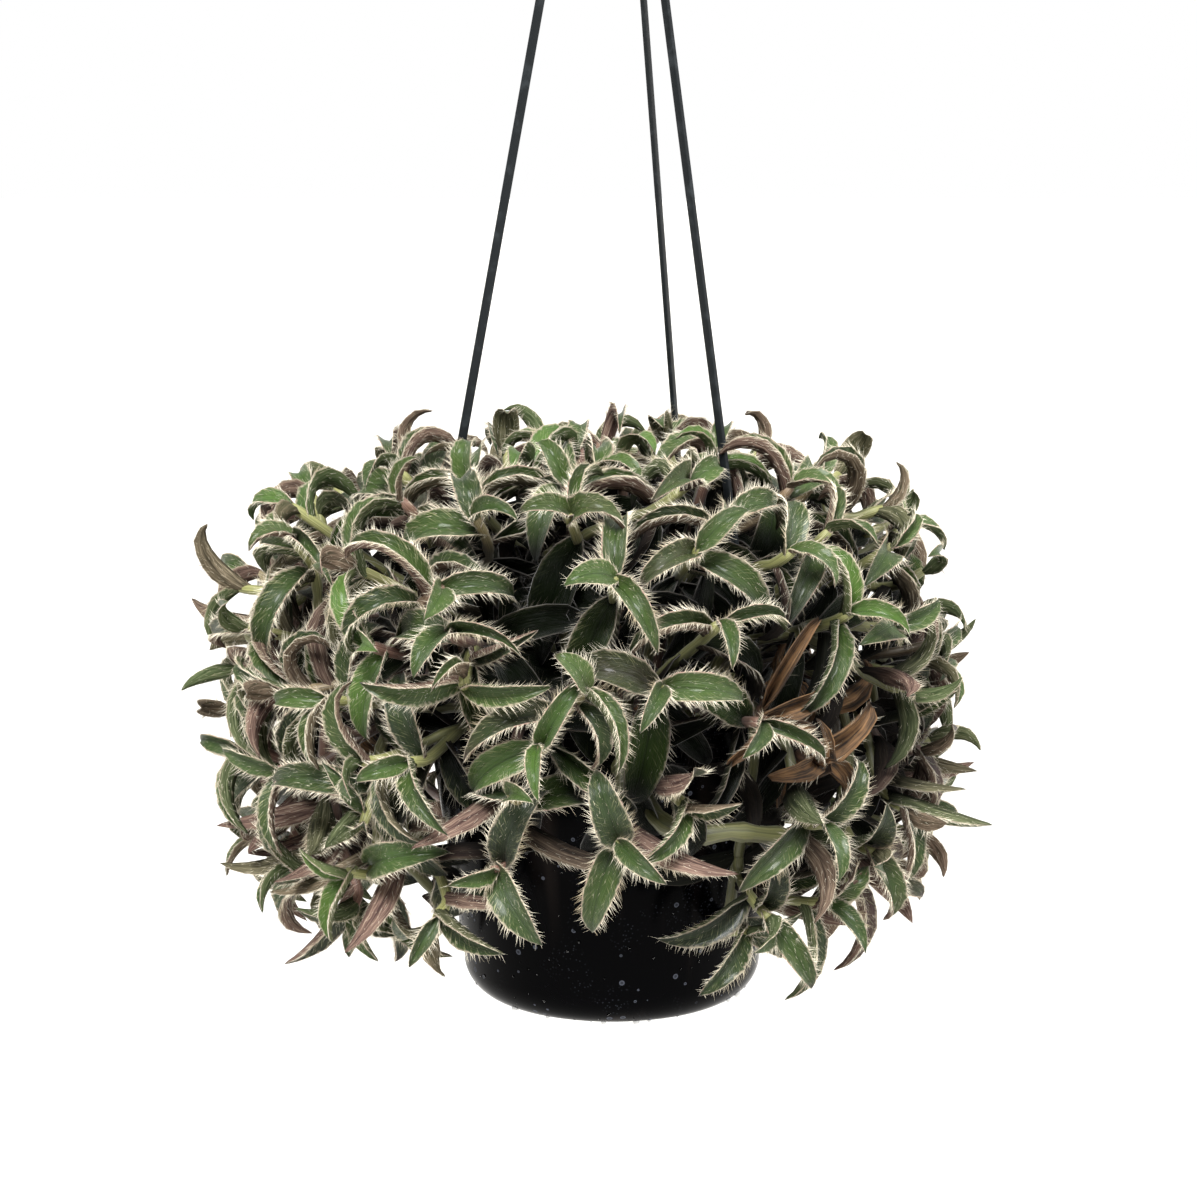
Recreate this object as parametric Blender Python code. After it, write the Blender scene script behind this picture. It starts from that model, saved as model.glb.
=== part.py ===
"""Potted cyanotis: a hairy trailing house plant in a round moulded pot that hangs from a three-armed hanger.

Metres, +Z up. The origin is the point inside the hook where the hook bears on what carries it, and the front
of the plant faces -Y. The plant is laid out round the middle of the rim, with azimuth 0 at the front and
positive azimuths towards +X.
"""

import math
import random

import bmesh
import bpy
from mathutils import Vector
from mathutils.bvhtree import BVHTree

UP = Vector((0, 0, 1))
FIT_GAP = 0.0003

# Pot
RIM_Z = -0.350
POT_HEIGHT = 0.098
POT_SIDES = 30
BASE_FLAT_RADIUS = 0.0345
BASE_CORNER_RADIUS = 0.012
WALL_TOP_RADIUS = 0.0590
WALL_THICKNESS = 0.0013
RIM_RADIUS = 0.0635
RIM_BAND_HEIGHT = 0.0048
RIM_BAND_THICKNESS = 0.0014
RIM_FLANGE_THICKNESS = 0.0020
DRAIN_HOLES = 6
DRAIN_HOLE_RADIUS = 0.0038
DRAIN_CIRCLE_RADIUS = 0.0270

# Hanger
ARM_AZIMUTHS = (-78, 44, 154)
ARM_FOOT_RADIUS = 0.0606
ARM_HEAD_RADIUS = 0.0022
ARM_RADIAL = 0.0027
ARM_TANGENTIAL = 0.0014
ARM_CHAMFER = 0.0003
TONGUE_RADIAL = 0.0020
BARB_TANGENTIAL = 0.0038
BARB_HEIGHT = 0.0030
SLOT_SLACK = 0.0004
HUB_Z = -0.043
HUB_RADIUS = 0.0065
HUB_HEIGHT = 0.013
HOOK_INNER_RADIUS = 0.0080
HOOK_THICKNESS = 0.0032
HOOK_START_ANGLE = -35
HOOK_END_ANGLE = 208

# Soil
SOIL_EDGE_DEPTH = 0.0100
SOIL_DOME = 0.0040
SOIL_SIDES = 20
HOLE_DEPTH = 0.0130

# Envelope of the shoot tips, measured from the middle of the rim
TIP_REACH_SIDE = 0.107
TIP_REACH_LEFT_EXTRA = 0.009
TIP_REACH_UP = 0.071
TIP_REACH_DOWN = 0.067
UPPER_ENVELOPE_POWER = 3.6
LOWER_ENVELOPE_POWER = 4

# Stems
STEM_RADIUS = 0.0019
STEM_TIP_RADIUS = 0.0013
STEM_SIDES = 5
STEM_STATIONS = 7
STEM_CIRCLE_RADIUS = 0.0470
STEM_SPACING = 0.0108
STEM_TRIES = 40
HANG_FULL = 22
RIM_BEND_RISE = 0.026
TIP_TURN = 0.011
TIP_DROOP = 0.3

# Leaves, from the youngest at the tip of a stem to the oldest
LEAF_PLACES = (0.0008, 0.0045, 0.0100, 0.0165, 0.0240, 0.0325, 0.0420)
LEAF_LENGTHS = (0.019, 0.028, 0.034, 0.037, 0.038, 0.038, 0.036)
LEAF_WIDTHS = (0.0095, 0.0125, 0.0140, 0.0146, 0.0148, 0.0146, 0.0140)
LEAF_STARTS = (20, 38, 52, 62, 70, 76, 80)
LEAF_BENDS = (0.55, 0.85, 1.00, 1.05, 1.05, 1.05, 1.05)
LEAF_TURN = 138
LEAF_SPREAD = 0.75
LEAF_CURL = 0.50
LEAF_WEIGHT = 0.60
LEAF_THICKNESS = 0.0013
LEAF_FOLD = 34
LEAF_TRIES = 28
LEAF_CLEAR_OF_SOIL = 0.007
LEAF_STEPS = 8
LEAF_RINGS = (0.22, 0.62)
SIMPLE_RINGS = (0.40,)
SIMPLE_LEAVES = (0, 5, 6)

# Shoot tips that face the front, as azimuth and elevation in degrees
FRONT_SHOOTS = (
    (0, 26), (-11, 1), (-38, 14), (-44, -20), (-83, 30), (-40, 62), (78, 46), (46, 60), (24, 38),
    (43, 19), (33, -40), (-18, -17), (-80, -22), (-88, -4), (-100, 47), (-97, 16), (92, 28), (84, 8),
    (70, -8), (7, 10), (1, -13), (-70, 12), (-58, -7), (-25, 17), (62, -30), (-48, 38), (-31, -2),
    (36, -14), (-92, -25), (-14, 50), (23, 4), (-62, -23), (64, 28), (20, 82), (-150, 74), (100, 66),
)
# Shoot tips behind, in rows of one elevation that run from the right side round to the left
BACK_ROWS = ((47, 3), (24, 5), (2, 4), (-22, 4))
BACK_FROM = 106
BACK_TO = 252
# Dead shoots, which are shorter than the living ones
DRY_SHOOTS = ((46, -7), (-112, -4))
DRY_REACH = 0.80


def material(name, colour, roughness, metallic=0.0):
    """A plain Principled material. The colour is linear RGB."""
    made = bpy.data.materials.new(name)
    made.use_nodes = True
    shader = made.node_tree.nodes["Principled BSDF"]
    shader.inputs["Base Color"].default_value = (*colour, 1.0)
    shader.inputs["Roughness"].default_value = roughness
    shader.inputs["Metallic"].default_value = metallic
    return made


def mesh_object(name, verts, faces, finish=None):
    mesh = bpy.data.meshes.new(name)
    mesh.from_pydata([tuple(v) for v in verts], [], faces)
    made = bpy.data.objects.new(name, mesh)
    bpy.context.scene.collection.objects.link(made)
    if finish:
        mesh.materials.append(finish)
    return made


def apply_modifiers(target):
    """Turns the object's modifiers into its mesh."""
    graph = bpy.context.evaluated_depsgraph_get()
    result = bpy.data.meshes.new_from_object(target.evaluated_get(graph))
    target.modifiers.clear()
    old = target.data
    target.data = result
    bpy.data.meshes.remove(old)
    result.name = target.name


def combine(target, tools, operation, solver="EXACT"):
    """Joins the tools to the target, or cuts them from it, with one Boolean on a collection of them."""
    group = bpy.data.collections.new("tools")
    for tool in tools:
        group.objects.link(tool)
    boolean = target.modifiers.new(operation.title(), "BOOLEAN")
    boolean.operation = operation
    boolean.solver = solver
    boolean.operand_type = "COLLECTION"
    boolean.collection = group
    apply_modifiers(target)
    for tool in tools:
        bpy.data.objects.remove(tool)
    bpy.data.collections.remove(group)


def keep_main_body(target):
    """Drops scraps that came loose, and the inner walls of sealed hollows."""
    shape = bmesh.new()
    shape.from_mesh(target.data)
    waiting = set(shape.faces)
    bodies = []
    while waiting:
        front = [waiting.pop()]
        body = set(front)
        while front:
            face = front.pop()
            for edge in face.edges:
                for other in edge.link_faces:
                    if other in waiting:
                        waiting.discard(other)
                        body.add(other)
                        front.append(other)
        bodies.append(body)
    main = max(bodies, key=len)
    scraps = [face for body in bodies if body is not main for face in body]
    bmesh.ops.delete(shape, geom=scraps, context="FACES")
    shape.to_mesh(target.data)
    shape.free()


def shade_round(target, angle=40):
    target.data.shade_smooth()
    target.data.set_sharp_from_angle(angle=math.radians(angle))


def around(azimuth, radius, z=0.0):
    """The point at an azimuth in degrees, 0 at the front and positive towards +X."""
    turn = math.radians(azimuth)
    return Vector((radius * math.sin(turn), -radius * math.cos(turn), z))


def turned(profile, sides, phase=0.0):
    """Verts and faces of a profile turned about Z. The profile is a list of (radius, z) from axis to axis,
    and it runs from the bottom up its outer side."""
    verts = []
    rings = []
    for radius, z in profile:
        if radius == 0:
            rings.append([len(verts)] * sides)
            verts.append(Vector((0, 0, z)))
            continue
        rings.append(list(range(len(verts), len(verts) + sides)))
        for side in range(sides):
            turn = 2 * math.pi * (side + phase) / sides
            verts.append(Vector((radius * math.cos(turn), radius * math.sin(turn), z)))
    faces = []
    for low, high in zip(rings, rings[1:]):
        for side in range(sides):
            after = (side + 1) % sides
            corners = [low[side], low[after], high[after], high[side]]
            faces.append(list(dict.fromkeys(corners)))
    return verts, faces


def swept(sections):
    """Verts and faces of a solid through closed sections, each a ring of points, or one point at an end."""
    verts = []
    rings = []
    sides = max(map(len, sections))
    for section in sections:
        first = len(verts)
        rings.append([first + i * (len(section) > 1) for i in range(sides)])
        verts.extend(section)
    faces = []
    if len(sections[0]) > 1:
        faces.append(rings[0][::-1])
    for low, high in zip(rings, rings[1:]):
        for i in range(sides):
            after = (i + 1) % sides
            faces.append(list(dict.fromkeys([low[i], low[after], high[after], high[i]])))
    if len(sections[-1]) > 1:
        faces.append(rings[-1])
    return verts, faces


def chamfered_section(centre, along, across, half_along, half_across, chamfer):
    """A rectangle with its corners cut, in the plane of the directions along and across."""
    inner_along = half_along - chamfer
    inner_across = half_across - chamfer
    corners = (
        (half_along, -inner_across), (half_along, inner_across), (inner_along, half_across),
        (-inner_along, half_across), (-half_along, inner_across), (-half_along, -inner_across),
        (-inner_along, -half_across), (inner_along, -half_across),
    )
    return [centre + along * a + across * b for a, b in corners]


def arc(centre, radius, start, end, steps):
    """Points (x, z) on an arc between two angles in degrees, both ends included."""
    points = []
    for step in range(steps + 1):
        turn = math.radians(start + (end - start) * step / steps)
        points.append((centre[0] + radius * math.cos(turn), centre[1] + radius * math.sin(turn)))
    return points


def bezier(p0, p1, p2, p3, t):
    return p0 * (1 - t) ** 3 + p1 * (3 * t * (1 - t) ** 2) + p2 * (3 * t * t * (1 - t)) + p3 * t ** 3


def cylinder(centre, radius, low, high, sides, phase=0.0):
    verts, faces = turned([(0, low), (radius, low), (radius, high), (0, high)], sides, phase)
    return [v + Vector((centre.x, centre.y, 0)) for v in verts], faces


def wall_radius(z):
    """The outer radius of the pot's wall above its rounded corner."""
    low_z = RIM_Z - POT_HEIGHT + BASE_CORNER_RADIUS
    low_radius = BASE_FLAT_RADIUS + BASE_CORNER_RADIUS
    share = (z - low_z) / (RIM_Z - low_z)
    return low_radius + (WALL_TOP_RADIUS - low_radius) * share


def pot_solid():
    base_z = RIM_Z - POT_HEIGHT
    corner_z = base_z + BASE_CORNER_RADIUS
    flange_z = RIM_Z - RIM_FLANGE_THICKNESS
    outer = [(0, base_z)]
    outer += arc((BASE_FLAT_RADIUS, corner_z), BASE_CORNER_RADIUS, -90, 0, 4)
    outer += [(wall_radius(z), z) for z in (base_z + POT_HEIGHT * 0.55, flange_z)]
    band_inner = RIM_RADIUS - RIM_BAND_THICKNESS
    band_low = RIM_Z - RIM_BAND_HEIGHT
    rim = [(band_inner, flange_z), (band_inner, band_low), (RIM_RADIUS, band_low)]
    rim += [(RIM_RADIUS, RIM_Z - 0.0006), (RIM_RADIUS - 0.0006, RIM_Z)]
    inner = [(WALL_TOP_RADIUS - WALL_THICKNESS, RIM_Z)]
    inner += [(wall_radius(corner_z) - WALL_THICKNESS, corner_z)]
    inner += arc((BASE_FLAT_RADIUS, corner_z), BASE_CORNER_RADIUS - WALL_THICKNESS, 0, -90, 3)[1:]
    inner += [(0, base_z + WALL_THICKNESS)]
    return turned(outer + rim + inner, POT_SIDES)


def make_pot(finish):
    pot = mesh_object("pot", *pot_solid(), finish)
    cutters = []
    for azimuth in ARM_AZIMUTHS:
        out = around(azimuth, 1)
        across = UP.cross(out)
        half_out = TONGUE_RADIAL / 2 + SLOT_SLACK
        half_across = ARM_TANGENTIAL / 2 + SLOT_SLACK
        sections = []
        for z in (RIM_Z - RIM_FLANGE_THICKNESS - 0.001, RIM_Z + 0.001):
            centre = around(azimuth, ARM_FOOT_RADIUS, z)
            sections.append([
                centre + out * half_out * a + across * half_across * b
                for a, b in ((1, -1), (1, 1), (-1, 1), (-1, -1))
            ])
        cutters.append(mesh_object("slot", *swept(sections)))
    base_z = RIM_Z - POT_HEIGHT
    for hole in range(DRAIN_HOLES):
        centre = around(360 * (hole + 0.5) / DRAIN_HOLES, DRAIN_CIRCLE_RADIUS)
        shape = cylinder(centre, DRAIN_HOLE_RADIUS, base_z - 0.001, base_z + WALL_THICKNESS + 0.001, 8)
        cutters.append(mesh_object("drain", *shape))
    combine(pot, cutters, "DIFFERENCE")
    shade_round(pot)
    return pot


def arm_solid(azimuth):
    """A straight arm from the hub to the rim, with a tongue through its slot and a barb under the flange."""
    out = around(azimuth, 1)
    across = UP.cross(out)
    barb_top = RIM_Z - RIM_FLANGE_THICKNESS - FIT_GAP
    foot = around(azimuth, ARM_FOOT_RADIUS, RIM_Z + FIT_GAP + 0.0012)
    head = around(azimuth, ARM_HEAD_RADIUS, HUB_Z + 0.006)
    straight = (head - foot).normalized()
    lean = across.cross(straight)
    half_across = ARM_TANGENTIAL / 2
    half_tongue = TONGUE_RADIAL / 2
    rows = (
        (around(azimuth, ARM_FOOT_RADIUS, barb_top - BARB_HEIGHT), out, half_tongue * 0.7, half_across * 0.8),
        (around(azimuth, ARM_FOOT_RADIUS, barb_top), out, half_tongue, BARB_TANGENTIAL / 2),
        (around(azimuth, ARM_FOOT_RADIUS, barb_top), out, half_tongue, half_across),
        (around(azimuth, ARM_FOOT_RADIUS, RIM_Z + FIT_GAP), out, half_tongue, half_across),
        (foot + straight * 0.0008, lean, ARM_RADIAL / 2, half_across),
        (head, lean, ARM_RADIAL / 2, half_across),
    )
    sections = [
        chamfered_section(centre, facing, across, half_out, half, ARM_CHAMFER)
        for centre, facing, half_out, half in rows
    ]
    return swept(sections)


def hook_solid():
    """A swan neck that rises from the hub and bends over, with its bearing point at the origin."""
    centre = (0.0, -HOOK_INNER_RADIUS)
    path_radius = HOOK_INNER_RADIUS + HOOK_THICKNESS / 2
    bow = arc(centre, path_radius, HOOK_START_ANGLE, HOOK_END_ANGLE, 13)
    turn = math.radians(HOOK_START_ANGLE)
    start = Vector((bow[0][0], 0, bow[0][1]))
    heading = Vector((-math.sin(turn), 0, math.cos(turn)))
    root = Vector((0, 0, HUB_Z + 0.006))
    neck = [bezier(root, root + UP * 0.013, start - heading * 0.006, start, step / 6) for step in range(6)]
    path = neck + [Vector((x, 0, z)) for x, z in bow]
    across = Vector((0, 1, 0))
    half = HOOK_THICKNESS / 2
    sections = []
    for i, point in enumerate(path):
        ahead = path[min(i + 1, len(path) - 1)] - path[max(i - 1, 0)]
        outward = across.cross(ahead.normalized())
        sections.append(chamfered_section(point, outward, across, half, half, half * 0.5))
    return swept(sections)


def make_hanger(finish):
    top = HUB_Z + HUB_HEIGHT
    profile = [
        (0, HUB_Z), (HUB_RADIUS - 0.001, HUB_Z), (HUB_RADIUS, HUB_Z + 0.001), (HUB_RADIUS, HUB_Z + 0.0075),
        (HUB_RADIUS * 0.6, top - 0.001), (0, top),
    ]
    hanger = mesh_object("hanger", *turned(profile, 16, 0.5), finish)
    pieces = [mesh_object("hook", *hook_solid())]
    pieces += [mesh_object("arm", *arm_solid(azimuth)) for azimuth in ARM_AZIMUTHS]
    combine(hanger, pieces, "UNION")
    keep_main_body(hanger)
    shade_round(hanger)
    return hanger


def soil_height(radius):
    """The height of the soil's surface, which is domed a little."""
    edge = WALL_TOP_RADIUS - WALL_THICKNESS
    return RIM_Z - SOIL_EDGE_DEPTH + SOIL_DOME * (1 - (radius / edge) ** 2)


def in_soil(root):
    """True for a leaf's root in the pot that is too near the soil, or under it."""
    return math.hypot(root.x, root.y) < RIM_RADIUS and root.z < RIM_Z - SOIL_EDGE_DEPTH + LEAF_CLEAR_OF_SOIL


def soil_solid():
    """Potting soil that fills the pot, without the holes for the stems."""
    floor_z = RIM_Z - POT_HEIGHT + WALL_THICKNESS + FIT_GAP
    corner_z = RIM_Z - POT_HEIGHT + BASE_CORNER_RADIUS
    inset = WALL_THICKNESS + FIT_GAP
    edge_z = RIM_Z - SOIL_EDGE_DEPTH
    profile = [(0, floor_z), (BASE_FLAT_RADIUS - 0.001, floor_z)]
    profile += arc((BASE_FLAT_RADIUS, corner_z), BASE_CORNER_RADIUS - inset - 0.0006, -80, 0, 2)
    profile += [(wall_radius(edge_z) - inset - 0.0003, edge_z)]
    profile += [(radius, soil_height(radius)) for radius in (0.042, 0.022)]
    profile += [(0, soil_height(0))]
    return turned(profile, SOIL_SIDES)


def make_soil(bases, finish):
    """The soil with a plain blind hole for each stem."""
    soil = mesh_object("soil", *soil_solid(), finish)
    cutters = []
    for base in bases:
        low = hole_floor(base)
        reach = (STEM_RADIUS + FIT_GAP) / math.cos(math.pi / STEM_SIDES)
        cutters.append(mesh_object("hole", *cylinder(base, reach, low, RIM_Z, STEM_SIDES)))
    combine(soil, cutters, "DIFFERENCE")
    keep_main_body(soil)
    shade_round(soil)
    return soil


def hole_floor(base):
    return soil_height(math.hypot(base.x, base.y)) - HOLE_DEPTH


def shoot_tip(azimuth, elevation, share=1.0):
    """Where a shoot ends, on the flattened dome that the plant fills, or at a share of the way out to it."""
    turn = math.radians(azimuth)
    rise = math.radians(elevation)
    side = TIP_REACH_SIDE - TIP_REACH_LEFT_EXTRA * math.sin(turn)
    height, power = (TIP_REACH_UP, UPPER_ENVELOPE_POWER)
    if elevation < 0:
        height, power = (TIP_REACH_DOWN, LOWER_ENVELOPE_POWER)
    reach = ((math.cos(rise) / side) ** power + (abs(math.sin(rise)) / height) ** power) ** (-1 / power)
    reach *= share
    return around(azimuth, reach * math.cos(rise), RIM_Z + reach * math.sin(rise))


def shoot_list():
    """Name, azimuth, elevation and reach of every shoot: the front ones as listed, the back ones in rows, and
    the dead ones."""
    angles = list(FRONT_SHOOTS)
    for row, (elevation, count) in enumerate(BACK_ROWS):
        for i in range(count):
            share = (i + 0.3 + 0.4 * (row % 2)) / count
            angles.append((BACK_FROM + (BACK_TO - BACK_FROM) * share, elevation + 5 * (-1) ** i))
    shoots = [(f"leafy_stem_{i + 1:02d}", *pair, 1.0) for i, pair in enumerate(angles)]
    shoots += [(f"dry_stem_{i + 1:02d}", *pair, DRY_REACH) for i, pair in enumerate(DRY_SHOOTS)]
    return shoots


def stem_bases(shoots):
    """Where the stems leave the soil: each under its own tip, then pushed apart until all have room."""
    bases = []
    for _, azimuth, elevation, _ in shoots:
        share = (90 - elevation) / 130
        bases.append(around(azimuth, STEM_CIRCLE_RADIUS * share ** 0.6))
    for _ in range(200):
        for i, one in enumerate(bases):
            for other in bases[:i]:
                apart = one - other
                lack = STEM_SPACING - apart.length
                if lack > 0:
                    push = apart.normalized() * lack * 0.5
                    one += push
                    other -= push
        for base in bases:
            if base.length > STEM_CIRCLE_RADIUS:
                base *= STEM_CIRCLE_RADIUS / base.length
    return bases


def stem_path(base, tip, azimuth, elevation, wander, rng):
    """The points of a stem's line: straight up out of its hole, over in one bend, and out to its tip, which
    is turned up to the light. The lower the tip, the more the bend is drawn out over the rim."""
    foot = Vector((base.x, base.y, hole_floor(base) + FIT_GAP))
    leave = Vector((base.x, base.y, foot.z + HOLE_DEPTH + 0.003))
    lean = math.radians(elevation * (1.0 if elevation > 0 else TIP_DROOP) + 6)
    heading = around(azimuth, math.cos(lean), math.sin(lean))
    neck = tip - heading * TIP_TURN
    span = (neck - leave).length
    shift = Vector([rng.gauss(0, wander) for _ in range(3)])
    hang = min(1.0, max(0.0, -elevation / HANG_FULL))
    first = leave + UP * (max(0.30 * span, 0.015) * (1 - hang) + RIM_BEND_RISE * hang) + shift * 0.3
    over = around(azimuth, Vector((tip.x, tip.y)).length + 0.004, RIM_Z + RIM_BEND_RISE)
    last = (neck - heading * (0.42 * span)).lerp(over, hang) + shift
    points = [foot, leave]
    count = STEM_STATIONS - 3
    points += [bezier(leave, first, last, neck, (i + 1) / count) for i in range(count)]
    points.append(tip)
    return points


def tube(points, radius, tip_radius, sides, grow=0.0):
    """A round stem along the points, thinner towards its tip."""
    sections = []
    for i, point in enumerate(points):
        ahead = (points[min(i + 1, len(points) - 1)] - points[max(i - 1, 0)]).normalized()
        east = Vector((1, 0, 0))
        first = (east - ahead * east.dot(ahead)).normalized() if i else east
        second = ahead.cross(first) if i else Vector((0, 1, 0))
        size = radius + (tip_radius - radius) * i / (len(points) - 1) + grow
        section = []
        for side in range(sides):
            turn = 2 * math.pi * side / sides
            section.append(point + first * (size * math.cos(turn)) + second * (size * math.sin(turn)))
        sections.append(section)
    return swept(sections)


def along_path(points, distance):
    """The point that lies a distance back from the end of the path, and the path's direction there."""
    left = distance
    for i in range(len(points) - 1, 0, -1):
        step = points[i] - points[i - 1]
        if left <= step.length:
            return points[i] - step.normalized() * left, step.normalized()
        left -= step.length
    return points[0], (points[1] - points[0]).normalized()


def leaf_layout(path, place, index, attempt, rng, turn):
    """One leaf's size and midrib. Each further attempt strays more from the rule."""
    root, along = along_path(path, place)
    side = along.cross(UP)
    side = side.normalized() if side.length > 0.05 else Vector((1, 0, 0))
    angle = math.radians(turn + rng.gauss(0, 9 + 5 * attempt))
    out = side * math.cos(angle) + along.cross(side) * math.sin(angle)
    across = along.cross(out)
    start = math.radians(LEAF_STARTS[index] + rng.gauss(0, 5 + attempt))
    leaving = along * math.cos(start) + out * math.sin(start)
    curl = LEAF_CURL * (1 + along.z) * rng.uniform(0.7, 1.3)
    ending = out * LEAF_SPREAD - along * curl - UP * (LEAF_WEIGHT * rng.uniform(0.6, 1.4))
    ending += across * rng.gauss(0, 0.22 + 0.02 * attempt)
    ending = leaving.lerp(ending, LEAF_BENDS[index])
    shrink = 1 - 0.012 * attempt
    length = LEAF_LENGTHS[index] * rng.uniform(0.88, 1.10) * shrink
    line = [root]
    for step in range(LEAF_STEPS):
        heading = leaving.lerp(ending, (step + 0.5) / LEAF_STEPS).normalized()
        line.append(line[-1] + heading * (length / LEAF_STEPS))
    return {
        "line": line,
        "across": across,
        "length": length,
        "width": LEAF_WIDTHS[index] * rng.uniform(0.9, 1.08) * shrink,
        "fold": math.radians(LEAF_FOLD + rng.gauss(0, 5)),
    }


def leaf_frame(leaf, t):
    """The midrib's point at share t of the leaf's length, and the directions to its side and upper face."""
    line = leaf["line"]
    step = min(int(t * LEAF_STEPS), LEAF_STEPS - 1)
    heading = line[step + 1] - line[step]
    point = line[step] + heading * (t * LEAF_STEPS - step)
    before = line[max(step - 1, 0)]
    after = line[min(step + 2, LEAF_STEPS)]
    heading = (after - before).normalized()
    side = (leaf["across"] - heading * leaf["across"].dot(heading)).normalized()
    return point, side, heading.cross(side)


def leaf_half_width(leaf, t):
    """Lance shaped: narrow at the root, widest at a third, and drawn out to the point."""
    return leaf["width"] / 2 * t ** 0.45 * (1 - t) ** 0.75 / 0.475


def leaf_solid(leaf, rings, grow=0.0, from_root=True):
    """A leaf folded along its midrib like a boat: sections of four points between its root and its tip. Its
    root is a point inside the stem."""
    sections = []
    thick = LEAF_THICKNESS
    for t in rings:
        point, side, upper = leaf_frame(leaf, t)
        half = leaf_half_width(leaf, t) + grow
        reach = half * math.cos(leaf["fold"])
        rise = half * math.sin(leaf["fold"])
        sections.append([
            point + side * reach + upper * rise,
            point + upper * (grow + thick * 0.15),
            point - side * reach + upper * rise,
            point - upper * (thick * 0.85 + grow),
        ])
    if from_root:
        sections.insert(0, [leaf["line"][0]])
    tip, _, _ = leaf_frame(leaf, 1.0 + grow / leaf["length"])
    sections.append([tip])
    return swept(sections)


class Room:
    """The space that the plant grows in: what is in it so far, and whether a new piece is clear of that."""

    def __init__(self):
        self.items = []

    def add(self, owner, verts, faces):
        centre = sum(verts, Vector()) / len(verts)
        radius = max((v - centre).length for v in verts)
        self.items.append((owner, centre, radius, BVHTree.FromPolygons(verts, faces)))

    def is_clear(self, owner, verts, faces):
        """True if the new piece crosses nothing that belongs to another owner."""
        centre = sum(verts, Vector()) / len(verts)
        radius = max((v - centre).length for v in verts)
        tree = BVHTree.FromPolygons(verts, faces)
        for other, at, size, solid in self.items:
            near = (at - centre).length < size + radius
            if near and other != owner and tree.overlap(solid):
                return False
        return True


def grow_stems(room, shoots, bases):
    """Each stem's points, bent clear of the stems before it."""
    paths = []
    for number, (name, azimuth, elevation, reach) in enumerate(shoots):
        rng = random.Random(1000 + number)
        tip = shoot_tip(azimuth, elevation, reach)
        for attempt in range(STEM_TRIES):
            path = stem_path(bases[number], tip, azimuth, elevation, 0.002 + 0.0012 * attempt, rng)
            wide = tube(path, STEM_RADIUS, STEM_TIP_RADIUS, STEM_SIDES, FIT_GAP * 1.5)
            if room.is_clear(number, *wide):
                break
        else:
            raise RuntimeError(f"{name} finds no clear way")
        room.add(number, *tube(path, STEM_RADIUS, STEM_TIP_RADIUS, STEM_SIDES))
        paths.append(path)
    return paths


def grow_leaves(room, paths):
    """Leaves for every stem, the youngest of all stems first, each turned clear of what is there."""
    leaves = [[] for _ in paths]
    for index, place in enumerate(LEAF_PLACES):
        rings = SIMPLE_RINGS if index in SIMPLE_LEAVES else LEAF_RINGS
        for number, path in enumerate(paths):
            rng = random.Random(5000 + 50 * number + index)
            turn = 97 * number + LEAF_TURN * index
            for attempt in range(LEAF_TRIES):
                leaf = leaf_layout(path, place, index, attempt, rng, turn)
                if in_soil(leaf["line"][0]):
                    break
                blade = leaf_solid(leaf, rings, FIT_GAP * 1.3, from_root=False)
                whole = leaf_solid(leaf, rings, FIT_GAP * 1.3)
                if room.is_clear(None, *blade) and room.is_clear(number, *whole):
                    room.add(number, *leaf_solid(leaf, rings))
                    leaves[number].append((leaf, rings))
                    break
    return leaves


def make_stem(name, path, leaves, finish):
    stem = mesh_object(name, *tube(path, STEM_RADIUS, STEM_TIP_RADIUS, STEM_SIDES), finish)
    pieces = [mesh_object("leaf", *leaf_solid(leaf, rings)) for leaf, rings in leaves]
    if pieces:
        combine(stem, pieces, "UNION", "MANIFOLD")
        keep_main_body(stem)
    return stem


def main():
    for old in list(bpy.data.objects):
        bpy.data.objects.remove(old)
    black_plastic = material("black pot plastic", (0.012, 0.013, 0.015), 0.3)
    dark_plastic = material("dark hanger plastic", (0.020, 0.023, 0.025), 0.45)
    potting_soil = material("moist potting soil", (0.030, 0.019, 0.012), 0.95)
    green = material("hairy green leaf", (0.055, 0.115, 0.040), 0.55)
    brown = material("dry brown leaf", (0.130, 0.070, 0.038), 0.8)
    make_pot(black_plastic)
    make_hanger(dark_plastic)
    shoots = shoot_list()
    bases = stem_bases(shoots)
    make_soil(bases, potting_soil)
    room = Room()
    room.add("pot", *pot_solid())
    for azimuth in ARM_AZIMUTHS:
        room.add("hanger", *arm_solid(azimuth))
    paths = grow_stems(room, shoots, bases)
    room.add("soil", *soil_solid())
    leaves = grow_leaves(room, paths)
    for (name, *_), path, own in zip(shoots, paths, leaves):
        make_stem(name, path, own, brown if name.startswith("dry") else green)


if __name__ == "__main__":
    main()
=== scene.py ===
import functools
import random
from math import asin, copysign, cos, degrees, hypot, pi, radians, sin, sqrt

import bmesh
import bpy
from mathutils import Matrix, Vector, noise
from mathutils.bvhtree import BVHTree


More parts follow.
